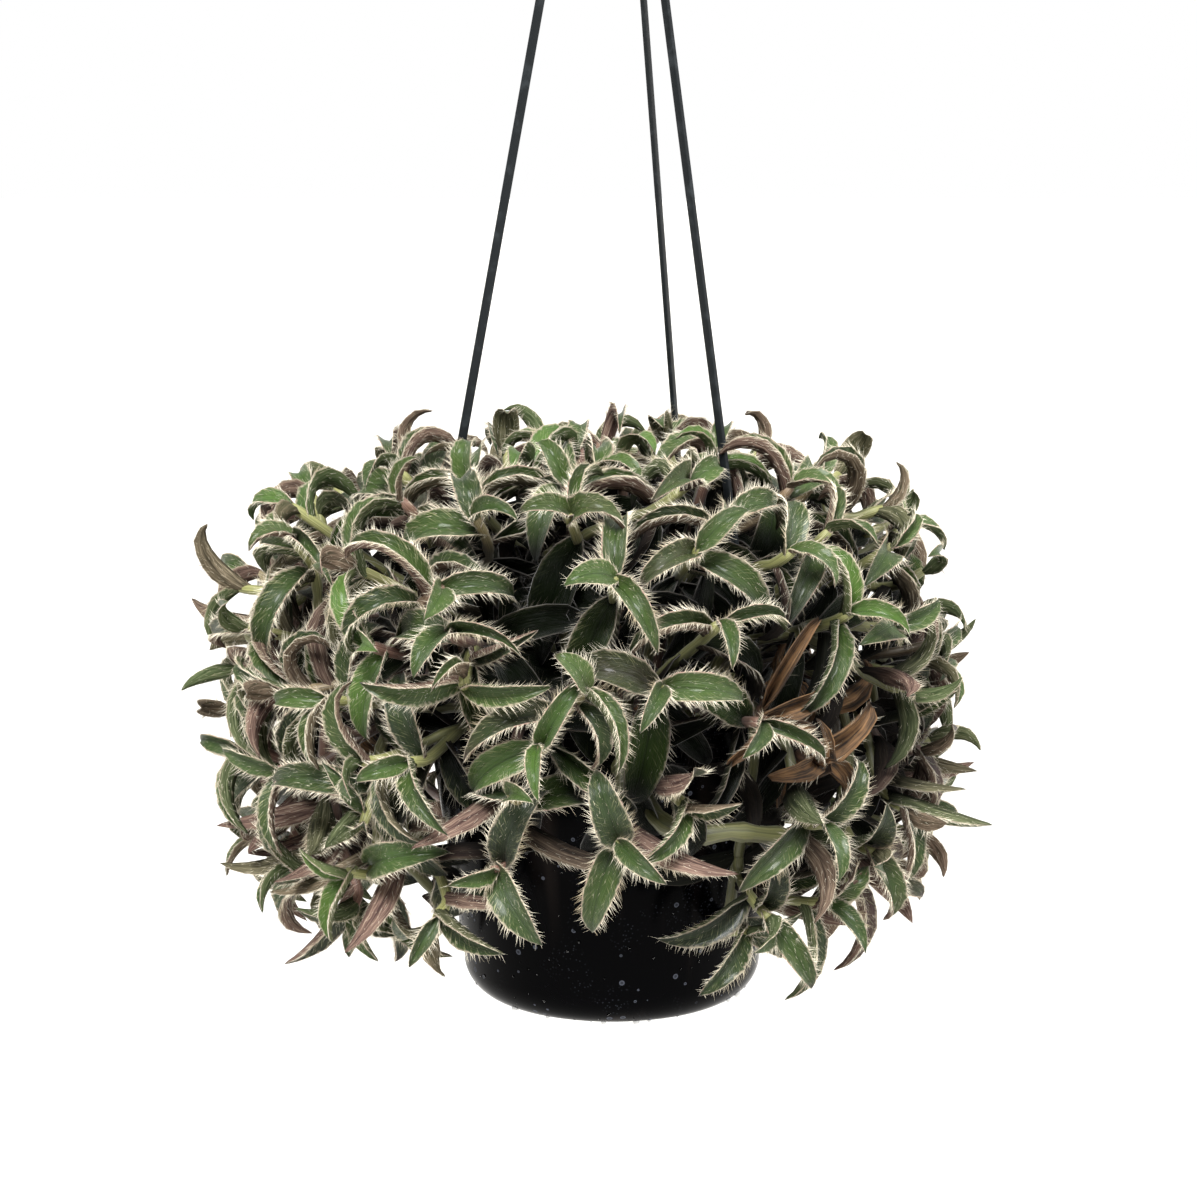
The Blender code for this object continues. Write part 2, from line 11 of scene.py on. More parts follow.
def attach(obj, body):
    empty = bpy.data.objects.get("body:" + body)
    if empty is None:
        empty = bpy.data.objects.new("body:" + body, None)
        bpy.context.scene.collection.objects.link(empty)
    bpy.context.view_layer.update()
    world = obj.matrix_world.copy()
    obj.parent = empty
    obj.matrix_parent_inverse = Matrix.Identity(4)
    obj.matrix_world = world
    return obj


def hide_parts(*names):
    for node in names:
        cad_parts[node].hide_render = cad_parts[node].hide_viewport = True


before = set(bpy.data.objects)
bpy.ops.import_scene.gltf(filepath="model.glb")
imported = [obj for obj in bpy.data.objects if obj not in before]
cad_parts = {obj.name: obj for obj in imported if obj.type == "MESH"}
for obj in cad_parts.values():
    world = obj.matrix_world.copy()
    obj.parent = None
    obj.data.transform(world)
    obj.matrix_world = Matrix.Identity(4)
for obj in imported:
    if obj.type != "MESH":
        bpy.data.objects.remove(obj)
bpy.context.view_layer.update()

bl_info = {
    "name": "Potted Cyanotis",
    "version": (1, 0, 0),
    "blender": (4, 5, 0),
    "location": "View3D > Sidebar > Cyanotis",
    "description": "Dresses the packed cyanotis, its hanging pot and hanger with leaves, hairs and finishes",
    "category": "Object",
}

UP = Vector((0, 0, 1))
FIT_GAP = 0.0003

# Pot, hanger and soil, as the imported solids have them
RIM_Z = -0.350
POT_HEIGHT = 0.098
BASE_FLAT_RADIUS = 0.0345
BASE_CORNER_RADIUS = 0.012
WALL_TOP_RADIUS = 0.0590
WALL_THICKNESS = 0.0013
RIM_RADIUS = 0.0635
RIM_BAND_HEIGHT = 0.0048
RIM_BAND_THICKNESS = 0.0014
RIM_FLANGE_THICKNESS = 0.0020
DRAIN_HOLES = 6
DRAIN_HOLE_RADIUS = 0.0038
DRAIN_CIRCLE_RADIUS = 0.0270
ARM_AZIMUTHS = (-78, 44, 154)
ARM_FOOT_RADIUS = 0.0606
ARM_HEAD_RADIUS = 0.0022
ARM_RADIAL = 0.0027
ARM_TANGENTIAL = 0.0014
TONGUE_RADIAL = 0.0020
BARB_TANGENTIAL = 0.0038
BARB_HEIGHT = 0.0030
SLOT_SLACK = 0.0004
HUB_Z = -0.043
HUB_RADIUS = 0.0065
HUB_HEIGHT = 0.013
HOOK_INNER_RADIUS = 0.0080
HOOK_THICKNESS = 0.0032
HOOK_START_ANGLE = -35
HOOK_END_ANGLE = 208
SOIL_EDGE_DEPTH = 0.0100
SOIL_DOME = 0.0040
HOLE_DEPTH = 0.0130

# The fine pot's rounded lips, and how far a cutter reaches past what it cuts
LIP_ROUNDING = 0.0005
CUT_PAST = 0.001

# The fine hanger: the hub's chamfer, its outline as share of its radius and height over its foot, then as
# share and depth under its top, the neck's rise and lead into the hook, the steps of each, and the arms' feet
HUB_CHAMFER = 0.001
HUB_SHOULDER = ((1.00, 0.0070), (0.98, 0.0080), (0.90, 0.0092))
HUB_CROWN = ((0.62, 0.0012), (0.50, 0.0004))
NECK_RISE = 0.013
NECK_LEAD = 0.006
NECK_STEPS = 18
BOW_STEPS = 40
HOOK_END_STEPS = 4
ARM_STEPS = 12
ARM_ROUNDING = 0.00035
ARM_STANDOFF = 0.0012
ARM_SHOULDER = 0.0008
BARB_EDGE = 0.00002
BARB_POINT = (0.7, 0.8)
HEAD_IN_HUB = 0.006

# The fine soil's rings and lumps
SOIL_RINGS = 26
LUMP_HEIGHT = 0.0011
LUMP_SCALE = 190
LUMP_FADE = 0.006

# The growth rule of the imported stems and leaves. The same numbers give the same plant.
TIP_REACH_SIDE = 0.107
TIP_REACH_LEFT_EXTRA = 0.009
TIP_REACH_UP = 0.071
TIP_REACH_DOWN = 0.067
UPPER_ENVELOPE_POWER = 3.6
LOWER_ENVELOPE_POWER = 4
STEM_RADIUS = 0.0019
STEM_TIP_RADIUS = 0.0013
STEM_SIDES = 5
STEM_STATIONS = 7
STEM_CIRCLE_RADIUS = 0.0470
STEM_SPACING = 0.0108
STEM_TRIES = 40
STEM_SEED = 1000
LEAF_SEED = 5000
HANG_FULL = 22
RIM_BEND_RISE = 0.026
STRAIGHT_RISE = 0.003
TIP_TURN = 0.011
TIP_DROOP = 0.3
LEAF_PLACES = (0.0008, 0.0045, 0.0100, 0.0165, 0.0240, 0.0325, 0.0420)
LEAF_LENGTHS = (0.019, 0.028, 0.034, 0.037, 0.038, 0.038, 0.036)
LEAF_WIDTHS = (0.0095, 0.0125, 0.0140, 0.0146, 0.0148, 0.0146, 0.0140)
LEAF_STARTS = (20, 38, 52, 62, 70, 76, 80)
LEAF_BENDS = (0.55, 0.85, 1.00, 1.05, 1.05, 1.05, 1.05)
LEAF_TURN = 138
LEAF_SPREAD = 0.75
LEAF_CURL = 0.50
LEAF_WEIGHT = 0.60
LEAF_THICKNESS = 0.0013
LEAF_FOLD = 34
LEAF_TRIES = 28
LEAF_CLEAR_OF_SOIL = 0.007
LEAF_STEPS = 8
LEAF_RINGS = (0.22, 0.62)
SIMPLE_RINGS = (0.40,)
SIMPLE_LEAVES = (0, 5, 6)
FRONT_SHOOTS = (
    (0, 26), (-11, 1), (-38, 14), (-44, -20), (-83, 30), (-40, 62), (78, 46), (46, 60), (24, 38),
    (43, 19), (33, -40), (-18, -17), (-80, -22), (-88, -4), (-100, 47), (-97, 16), (92, 28), (84, 8),
    (70, -8), (7, 10), (1, -13), (-70, 12), (-58, -7), (-25, 17), (62, -30), (-48, 38), (-31, -2),
    (36, -14), (-92, -25), (-14, 50), (23, 4), (-62, -23), (64, 28), (20, 82), (-150, 74), (100, 66),
)
BACK_ROWS = ((47, 3), (24, 5), (2, 4), (-22, 4))
BACK_FROM = 106
BACK_TO = 252
DRY_SHOOTS = ((46, -7), (-112, -4))
DRY_REACH = 0.80
PUSHES = 200

# Water drops on the pot's wall, how far it faces outwards and lies below the rim band where they are, and the
# drops on its lower edge as azimuth, turn under the wall and radius
DROP_FACING = 0.25
DROPS_BELOW_BAND = 0.002
DROP_SPACING = 0.0022
SMALLEST_DROP = 0.28
DROP_FLATNESS = 0.55
DROP_SAG = 1.25
HANGING_DROPS = (
    (-47, 58, 0.0010), (-30, 66, 0.0007), (-4, 72, 0.0008), (11, 72, 0.0011), (17, 71, 0.0006),
    (58, 50, 0.0008), (64, 44, 0.0011), (128, 60, 0.0010), (-140, 60, 0.0009),
)

# Crumbs on the soil, where it faces upwards
CRUMB_FACING = 0.3
CRUMB_SPACING = 0.0019
CRUMB_RADIUS = 0.0017
SMALLEST_CRUMB = 0.35
CRUMB_FLATNESS = 0.6
CRUMB_TUMBLE = 0.9

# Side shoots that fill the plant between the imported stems, as azimuth and elevation of their tips
SIDE_SHOOTS = (
    (-27, 23), (52, 45), (15, 31), (-4, 10), (-31, 3), (-22, 11), (-39, -3), (11, -8), (30, -31), (44, -31),
    (36, -38), (-15, -6), (-39, -12), (-9, 38), (-6, 63), (-57, 5), (48, 21), (63, -17), (-30, -27),
    (-44, -24), (-52, -30), (-68, -28), (52, -22),
)
DRY_SIDE_SHOOTS = ((27, 3), (38, -5))
DRY_SIDE_REACH = 0.93
DRY_SIDE_CLEAR = 0.024

# The thick side shoot at the lower right, as azimuth, radius and height over the rim of its points, and how
# far its joints lie from its tip
THICK_SHOOT = (
    (4, 0.062, -0.012), (9, 0.078, -0.0240), (15, 0.086, -0.0280), (22, 0.0885, -0.0272),
    (29, 0.089, -0.0292), (36, 0.091, -0.0312),
)
THICK_SHOOT_JOINTS = (0.0060, 0.0165, 0.0270, 0.0385)
THICK_SHOOT_LEAVES = 4
THICK_SHOOT_RADIUS = 0.0029
THICK_SHOOT_FORK = 0.030
THICK_SHOOT_ELEVATION = -20

# How the spiral of side shoots is spaced, how far down it goes, how each is seeded and tried on its near
# hosts, how far back from a host's tip it forks, and how far its leaves lie from its own tip
SIDE_SEED = 9000
SIDE_SPACING = 0.0200
SIDE_CANDIDATES = 460
GOLDEN_TURN = 2.399963
LISTED_SHARE = 0.6
SIDE_LOWEST = -40
SIDE_LOWEST_AT_FRONT = -18
FRONT_MIDDLE = 8
FRONT_HALF = 32
SIDE_TRIES = 24
SIDE_HOSTS = 4
FORK_NEAREST = 0.022
FORK_RANGE = 0.030
SIDE_PLACES = (0.0008, 0.0045, 0.0100, 0.0165, 0.0240, 0.0325)

# Shoots with bright green young leaves, with leaves gone purple brown, and with pale stems, by number from 0
BRIGHT_SHOOTS = (1, 2, 3, 4, 5, 7, 9, 33)
PURPLE_SHOOTS = (24, 18, 36)
PALE_STEMS = (10, 24, 27, 20, 0)

# The youth of a shoot's first leaf, how much less each next one has, and the seed of the leaves' looks
BRIGHT_YOUTH = (1.0, 0.24)
PLAIN_YOUTH = (0.22, 0.16)
FINE_SEED = 300

# The fine leaf: where its cross-sections lie along it and its columns across it, its outline, its waves in
# metres, the share of its thickness over its middle, how far its root clasps the stem, its most fold in
# radians, and a stem's swelling at each sheath
LEAF_STATIONS = (0.0, 0.05, 0.125, 0.25, 0.375, 0.5, 0.625, 0.75, 0.875, 0.95)
LEAF_COLUMNS = (-1.0, -0.93, -0.50, 0.0, 0.50, 0.93, 1.0)
BROADEST = 0.40
ROOT_SHARE = 0.42
FINE_WIDTH = 0.94
LIVING_WAVE = 0.00022
DRY_WAVE = 0.0011
UPPER_SHARE = 0.35
CLASP_END = 0.20
MOST_FOLD = 1.25
SHEATH_BACK = 0.002
SHEATH_LENGTH = 0.0042
SHEATH_SWELL = 0.30

# The finishes of a plant piece, by the place of their material in its list
UPPER, UNDER, EDGE, STEM, SHADED_UPPER = 0, 1, 2, 3, 4

# Hairs inside the plant and on dead leaves, as shares of those outside, where the leaves take a shaded face
# with little shine, as painted shade, and how the hairs are parted in pieces, stray from their way and are
# seeded
HAIR_INSIDE = 0.22
DRY_HAIR_SHARE = 0.30
SHADED_WITHIN = 0.40
HAIR_PIECES = 6
HAIR_STRAY = 0.38
HAIR_SEED = 17

# Shares of the outline's reach where the plant's inside is dark, with painted shade, and where it is in full
# light
OUTLINE_POWER = 3
DARK_REACH = 0.85
FULL_REACH = 1.05

# The photograph's frame and the camera's focal length in pixels, and the camera's place and tilt downwards
PHOTO_PIXELS = 1200
FOCAL_PIXELS = 2897
SENSOR = 36
CAMERA_AT = (-0.0042, -0.883, RIM_Z + 0.172)
CAMERA_TILT = 9.4

# The floor's half width, the way that each light shines and its spread in degrees, and the room's brighter
# side, with the share of its light that its other side gives
FLOOR_HALF = 30.0
KEY_WAY = (0.16, 0.90, -1.0)
KEY_SPREAD = 24
FILL_WAY = (-0.90, 0.45, -0.35)
FILL_SPREAD = 70
BRIGHT_SIDE = (0.60, 0.80, 0.20)
DIM_SHARE = 0.30


def linear(colour):
    """The linear RGB of an sRGB hex colour."""
    shares = [int(colour[i:i + 2], 16) / 255 for i in (0, 2, 4)]
    return tuple(s / 12.92 if s <= 0.04045 else ((s + 0.055) / 1.055) ** 2.4 for s in shares)


def fill(target, inputs):
    """Links a node's inputs to sockets, or sets them to values, in order or by name. A colour may be hex."""
    for key, value in inputs.items() if isinstance(inputs, dict) else enumerate(inputs):
        socket = target.inputs[key]
        if isinstance(value, bpy.types.NodeSocket):
            target.id_data.links.new(value, socket)
        elif socket.type == "RGBA":
            socket.default_value = (*(linear(value) if isinstance(value, str) else value), 1)
        else:
            socket.default_value = value


def node(tree, kind, inputs=(), settings=None, output=0):
    """Adds one node with its settings and links, and gives one of its outputs."""
    made = tree.nodes.new(kind)
    for name, value in (settings or {}).items():
        setattr(made, name, value)
    fill(made, inputs)
    return made.outputs[output] if made.outputs else None


def length_setting(label, text, default):
    return bpy.props.FloatProperty(
        name=label, description=text, default=default, min=0, precision=6, unit="LENGTH")


def amount_setting(label, text, default):
    return bpy.props.FloatProperty(name=label, description=text, default=default, min=0)


def colour_setting(label, text, default):
    return bpy.props.FloatVectorProperty(
        name=label, description=text, default=linear(default), min=0, max=1, subtype="COLOR")


class PlantSettings(bpy.types.PropertyGroup):
    """Sizes and colours of the leaves and their hairs."""

    blade_thickness: length_setting("Blade thickness", "How thick a leaf is along its keel", 0.0011)
    margin_thickness: length_setting("Margin thickness", "How thick a leaf is at its pale edge", 0.00035)
    fringe_length: length_setting("Fringe length", "Length of the hairs on a leaf's edge", 0.0038)
    hair_thickness: length_setting("Hair thickness", "Radius of a hair at its root", 0.000065)
    fringe_density: amount_setting("Fringe density", "Hairs on each square metre of a leaf's edge", 2450000)
    down_density: amount_setting("Down density", "Hairs on each square metre of a leaf's faces", 250000)
    deep_green: colour_setting("Deep green", "Upper face of a grown leaf", "17240F")
    mid_green: colour_setting("Mid green", "Upper face of a leaf in good light", "3B4F20")
    young_green: colour_setting("Young green", "Upper face of a new leaf", "54752F")
    margin_cream: colour_setting("Margin cream", "The pale edge of a leaf", "B8AB96")
    hair_white: colour_setting("Hair white", "The hairs", "ECE4CE")


class PotSettings(bpy.types.PropertyGroup):
    """Sizes and colours of the pot, the hanger, the soil and the water drops."""

    pot_black: colour_setting("Pot black", "The pot's plastic", "020203")
    hanger_black: colour_setting("Hanger black", "The hanger's plastic", "15181A")
    drop_density: amount_setting("Drop density", "Water drops on each square metre of the wall", 11000)
    drop_radius: length_setting("Drop radius", "Radius of a large water drop", 0.00055)
    crumb_density: amount_setting("Crumb density", "Crumbs on each square metre of the soil's top", 52000)


class StageSettings(bpy.types.PropertyGroup):
    """The floor and the lights."""

    floor_drop: length_setting("Floor drop", "How far the floor lies below the pot", 0.55)
    key_strength: amount_setting("Key light", "Strength of the large soft light from the upper left", 6.5)
    fill_strength: amount_setting("Fill light", "Strength of the very soft light from the right", 2.0)
    surroundings: amount_setting("Surroundings", "Light from the white room around", 0.77)


def mesh_object(name, verts, faces, finishes=()):
    mesh = bpy.data.meshes.new(name)
    mesh.from_pydata([tuple(v) for v in verts], [], faces)
    made = bpy.data.objects.new(name, mesh)
    bpy.context.scene.collection.objects.link(made)
    for finish in finishes:
        mesh.materials.append(finish)
    return made


def rows_of(mesh):
    """The verts and faces of a mesh."""
    return [v.co.copy() for v in mesh.vertices], [tuple(p.vertices) for p in mesh.polygons]


def freeze(target):
    """Turns an object's modifiers into its mesh."""
    graph = bpy.context.evaluated_depsgraph_get()
    result = bpy.data.meshes.new_from_object(target.evaluated_get(graph))
    target.modifiers.clear()
    old = target.data
    target.data = result
    bpy.data.meshes.remove(old)
    result.name = target.name


def combine(target, tools, operation):
    """Joins the tools to the target, or cuts them from it."""
    group = bpy.data.collections.new("tools")
    for tool in tools:
        group.objects.link(tool)
    boolean = target.modifiers.new(operation.title(), "BOOLEAN")
    boolean.operation = operation
    boolean.solver = "EXACT"
    boolean.operand_type = "COLLECTION"
    boolean.collection = group
    freeze(target)
    for tool in tools:
        bpy.data.objects.remove(tool)
    bpy.data.collections.remove(group)


def shade_round(target, angle=40):
    target.data.shade_smooth()
    target.data.set_sharp_from_angle(angle=radians(angle))


def settle(piece, slot, *nodes):
    """Puts a finished piece on the one body, and hides the solids that it stands for. The slot is not used.
    """
    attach(piece, "root")
    if nodes:
        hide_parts(*nodes)


def around(azimuth, radius, z=0.0):
    """The point at an azimuth in degrees, 0 at the front and positive towards +X."""
    turn = radians(azimuth)
    return Vector((radius * sin(turn), -radius * cos(turn), z))


def bands(rings):
    """The faces between each ring of corners and the next, which may be one corner, repeated."""
    faces = []
    for low, high in zip(rings, rings[1:]):
        for one, two, three, four in zip(low, low[1:] + low[:1], high[1:] + high[:1], high):
            faces.append(list(dict.fromkeys((one, two, three, four))))
    return faces


def swept(sections):
    """Verts and faces of a solid through closed sections, each a ring of points, or one point at an end."""
    verts = []
    rings = []
    sides = max(map(len, sections))
    for section in sections:
        first = len(verts)
        rings.append([first + i * (len(section) > 1) for i in range(sides)])
        verts.extend(section)
    faces = bands(rings)
    if len(sections[0]) > 1:
        faces.insert(0, rings[0][::-1])
    if len(sections[-1]) > 1:
        faces.append(rings[-1])
    return verts, faces


def turned(profile, sides):
    """Verts and faces of a profile turned about Z, a list of (radius, z) from axis to axis, bottom first."""
    turns = [2 * pi * side / sides for side in range(sides)]
    return swept([[Vector((radius * cos(turn), radius * sin(turn), z)) for turn in (turns if radius else [0])]
                  for radius, z in profile])


def arc(centre, radius, start, end, steps):
    """Points (x, z) on an arc between two angles in degrees, both ends included."""
    points = []
    for step in range(steps + 1):
        turn = radians(start + (end - start) * step / steps)
        points.append((centre[0] + radius * cos(turn), centre[1] + radius * sin(turn)))
    return points


def bezier(p0, p1, p2, p3, t):
    return p0 * (1 - t) ** 3 + p1 * (3 * t * (1 - t) ** 2) + p2 * (3 * t * t * (1 - t)) + p3 * t ** 3


def soil_height(radius):
    """The height of the soil's surface, which is domed a little."""
    edge = WALL_TOP_RADIUS - WALL_THICKNESS
    return RIM_Z - SOIL_EDGE_DEPTH + SOIL_DOME * (1 - (radius / edge) ** 2)


def hole_floor(base):
    return soil_height(hypot(base.x, base.y)) - HOLE_DEPTH


def in_soil(root):
    """True for a leaf's root in the pot that is too near the soil, or under it."""
    return hypot(root.x, root.y) < RIM_RADIUS and root.z < RIM_Z - SOIL_EDGE_DEPTH + LEAF_CLEAR_OF_SOIL


def shoot_tip(azimuth, elevation, share=1.0):
    """Where a shoot ends, on the flattened dome that the plant fills, or at a share of the way out to it."""
    turn = radians(azimuth)
    rise = radians(elevation)
    side = TIP_REACH_SIDE - TIP_REACH_LEFT_EXTRA * sin(turn)
    height, power = TIP_REACH_UP, UPPER_ENVELOPE_POWER
    if elevation < 0:
        height, power = TIP_REACH_DOWN, LOWER_ENVELOPE_POWER
    reach = ((cos(rise) / side) ** power + (abs(sin(rise)) / height) ** power) ** (-1 / power)
    reach *= share
    return around(azimuth, reach * cos(rise), RIM_Z + reach * sin(rise))


def shoot_list():
    """Name, azimuth, elevation and reach of every packed shoot: front, back in rows, and dead."""
    angles = list(FRONT_SHOOTS)
    for row, (elevation, count) in enumerate(BACK_ROWS):
        for i in range(count):
            share = (i + 0.3 + 0.4 * (row % 2)) / count
            angles.append((BACK_FROM + (BACK_TO - BACK_FROM) * share, elevation + 5 * (-1) ** i))
    shoots = [(f"leafy_stem_{i + 1:02d}", *pair, 1.0) for i, pair in enumerate(angles)]
    shoots += [(f"dry_stem_{i + 1:02d}", *pair, DRY_REACH) for i, pair in enumerate(DRY_SHOOTS)]
    return shoots


def stem_bases(shoots):
    """Where the stems leave the soil: each under its own tip, then pushed apart until all have room."""
    bases = []
    for _, azimuth, elevation, _ in shoots:
        share = (90 - elevation) / 130
        bases.append(around(azimuth, STEM_CIRCLE_RADIUS * share ** 0.6))
    for _ in range(PUSHES):
        for i, one in enumerate(bases):
            for other in bases[:i]:
                apart = one - other
                lack = STEM_SPACING - apart.length
                if lack > 0:
                    push = apart.normalized() * lack * 0.5
                    one += push
                    other -= push
        for base in bases:
            if base.length > STEM_CIRCLE_RADIUS:
                base *= STEM_CIRCLE_RADIUS / base.length
    return bases


def stem_path(base, tip, azimuth, elevation, wander, rng):
    """The points of a stem's line: straight up out of its hole, over in one bend, and out to its tip, which
    is turned up to the light."""
    foot = Vector((base.x, base.y, hole_floor(base) + FIT_GAP))
    leave = Vector((base.x, base.y, foot.z + HOLE_DEPTH + STRAIGHT_RISE))
    lean = radians(elevation * (1.0 if elevation > 0 else TIP_DROOP) + 6)
    heading = around(azimuth, cos(lean), sin(lean))
    neck = tip - heading * TIP_TURN
    span = (neck - leave).length
    shift = Vector([rng.gauss(0, wander) for _ in range(3)])
    hang = min(1.0, max(0.0, -elevation / HANG_FULL))
    first = leave + UP * (max(0.30 * span, 0.015) * (1 - hang) + RIM_BEND_RISE * hang) + shift * 0.3
    over = around(azimuth, Vector((tip.x, tip.y)).length + 0.004, RIM_Z + RIM_BEND_RISE)
    last = (neck - heading * (0.42 * span)).lerp(over, hang) + shift
    points = [foot, leave]
    count = STEM_STATIONS - 3
    points += [bezier(leave, first, last, neck, (i + 1) / count) for i in range(count)]
    points.append(tip)
    return points


def tube(points, radius, tip_radius, sides, grow=0.0):
    """A round stem along the points, thinner towards its tip."""
    sections = []
    for i, point in enumerate(points):
        ahead = (points[min(i + 1, len(points) - 1)] - points[max(i - 1, 0)]).normalized()
        east = Vector((1, 0, 0))
        first = (east - ahead * east.dot(ahead)).normalized() if i else east
        second = ahead.cross(first) if i else Vector((0, 1, 0))
        size = radius + (tip_radius - radius) * i / (len(points) - 1) + grow
        section = []
        for side in range(sides):
            turn = 2 * pi * side / sides
            section.append(point + first * (size * cos(turn)) + second * (size * sin(turn)))
        sections.append(section)
    return swept(sections)


def along_path(points, distance):
    """The point that lies a distance back from the end of the path, and the path's direction there."""
    left = distance
    for i in range(len(points) - 1, 0, -1):
        step = points[i] - points[i - 1]
        if left <= step.length:
            return points[i] - step.normalized() * left, step.normalized()
        left -= step.length
    return points[0], (points[1] - points[0]).normalized()


def leaf_layout(path, place, index, attempt, rng, turn):
    """One leaf's size and midrib. Each further attempt strays more from the rule."""
    root, along = along_path(path, place)
    side = along.cross(UP)
    side = side.normalized() if side.length > 0.05 else Vector((1, 0, 0))
    angle = radians(turn + rng.gauss(0, 9 + 5 * attempt))
    out = side * cos(angle) + along.cross(side) * sin(angle)
    across = along.cross(out)
    start = radians(LEAF_STARTS[index] + rng.gauss(0, 5 + attempt))
    leaving = along * cos(start) + out * sin(start)
    curl = LEAF_CURL * (1 + along.z) * rng.uniform(0.7, 1.3)
    ending = out * LEAF_SPREAD - along * curl - UP * (LEAF_WEIGHT * rng.uniform(0.6, 1.4))
    ending += across * rng.gauss(0, 0.22 + 0.02 * attempt)
    ending = leaving.lerp(ending, LEAF_BENDS[index])
    shrink = 1 - 0.012 * attempt
    length = LEAF_LENGTHS[index] * rng.uniform(0.88, 1.10) * shrink
    line = [root]
    for step in range(LEAF_STEPS):
        heading = leaving.lerp(ending, (step + 0.5) / LEAF_STEPS).normalized()
        line.append(line[-1] + heading * (length / LEAF_STEPS))
    return {
        "line": line,
        "across": across,
        "length": length,
        "width": LEAF_WIDTHS[index] * rng.uniform(0.9, 1.08) * shrink,
        "fold": radians(LEAF_FOLD + rng.gauss(0, 5)),
    }


def leaf_frame(leaf, t):
    """The midrib's point at share t of the leaf's length, and the directions to its side and upper face."""
    line = leaf["line"]
    step = min(int(t * LEAF_STEPS), LEAF_STEPS - 1)
    heading = line[step + 1] - line[step]
    point = line[step] + heading * (t * LEAF_STEPS - step)
    before = line[max(step - 1, 0)]
    after = line[min(step + 2, LEAF_STEPS)]
    heading = (after - before).normalized()
    side = (leaf["across"] - heading * leaf["across"].dot(heading)).normalized()
    return point, side, heading.cross(side)


def leaf_half_width(leaf, t):
    """Lance shaped: narrow at the root, widest at a third, and drawn out to the point."""
    return leaf["width"] / 2 * t ** 0.45 * (1 - t) ** 0.75 / 0.475


def fine_half_width(leaf, t):
    """The fine leaf's outline: broadest at two fifths, drawn in to its root, and tapered to a sharp point."""
    if t < BROADEST:
        share = 1 - (1 - ROOT_SHARE) * (1 - t / BROADEST) ** 2.2
    else:
        share = 1 - ((t - BROADEST) / (1 - BROADEST)) ** 1.7
    return leaf["width"] / 2 * share * FINE_WIDTH


def leaf_solid(leaf, rings, grow=0.0, from_root=True):
    """The leaf's plain solid, as packed, which keeps other leaves out of its way."""
    sections = []
    thick = LEAF_THICKNESS
    for t in rings:
        point, side, upper = leaf_frame(leaf, t)
        half = leaf_half_width(leaf, t) + grow
        reach = half * cos(leaf["fold"])
        rise = half * sin(leaf["fold"])
        sections.append([
            point + side * reach + upper * rise,
            point + upper * (grow + thick * 0.15),
            point - side * reach + upper * rise,
            point - upper * (thick * 0.85 + grow),
        ])
    if from_root:
        sections.insert(0, [leaf["line"][0]])
    tip, _, _ = leaf_frame(leaf, 1.0 + grow / leaf["length"])
    sections.append([tip])
    return swept(sections)


def ball_round(verts):
    """The middle of the points, and the radius of the ball about it that holds them all."""
    centre = sum(verts, Vector()) / len(verts)
    return centre, max((v - centre).length for v in verts)


class Room:
    """The space that the plant grows in: what is in it so far, and whether a new piece is clear of that."""

    def __init__(self):
        self.items = []

    def add(self, owner, verts, faces):
        self.items.append((owner, *ball_round(verts), BVHTree.FromPolygons(verts, faces)))

    def add_solid(self, name):
        """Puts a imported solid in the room."""
        self.add(name, *rows_of(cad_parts[name].data))

    def is_clear(self, friends, verts, faces):
        """True if the new piece crosses nothing that belongs to an owner outside its friends."""
        centre, radius = ball_round(verts)
        tree = BVHTree.FromPolygons(verts, faces)
        for other, at, size, solid in self.items:
            near = (at - centre).length < size + radius
            if near and other not in friends and tree.overlap(solid):
                return False
        return True


def grow_stems(room, shoots, bases):
    """Each stem's points, bent clear of the stems before it."""
    paths = []
    for number, (name, azimuth, elevation, reach) in enumerate(shoots):
        rng = random.Random(STEM_SEED + number)
        tip = shoot_tip(azimuth, elevation, reach)
        for attempt in range(STEM_TRIES):
            path = stem_path(bases[number], tip, azimuth, elevation, 0.002 + 0.0012 * attempt, rng)
            wide = tube(path, STEM_RADIUS, STEM_TIP_RADIUS, STEM_SIDES, FIT_GAP * 1.5)
            if room.is_clear((number,), *wide):
                break
        else:
            raise RuntimeError(f"{name} finds no clear way")
        room.add(number, *tube(path, STEM_RADIUS, STEM_TIP_RADIUS, STEM_SIDES))
        paths.append(path)
    return paths


def grow_leaves(room, paths, places, first=0):
    """Leaves for every stem, the youngest of all stems first, each turned clear of what is there."""
    leaves = [[] for _ in paths]
    for index, place in enumerate(places):
        rings = SIMPLE_RINGS if index in SIMPLE_LEAVES else LEAF_RINGS
        for number, path in enumerate(paths, first):
            rng = random.Random(LEAF_SEED + 50 * number + index)
            turn = 97 * number + LEAF_TURN * index
            for attempt in range(LEAF_TRIES):
                leaf = leaf_layout(path, place, index, attempt, rng, turn)
                if in_soil(leaf["line"][0]):
                    break
                blade = leaf_solid(leaf, rings, FIT_GAP * 1.3, from_root=False)
                whole = leaf_solid(leaf, rings, FIT_GAP * 1.3)
                if room.is_clear((), *blade) and room.is_clear((number,), *whole):
                    room.add(number, *leaf_solid(leaf, rings))
                    leaf["index"] = index
                    leaves[number - first].append(leaf)
                    break
    return leaves


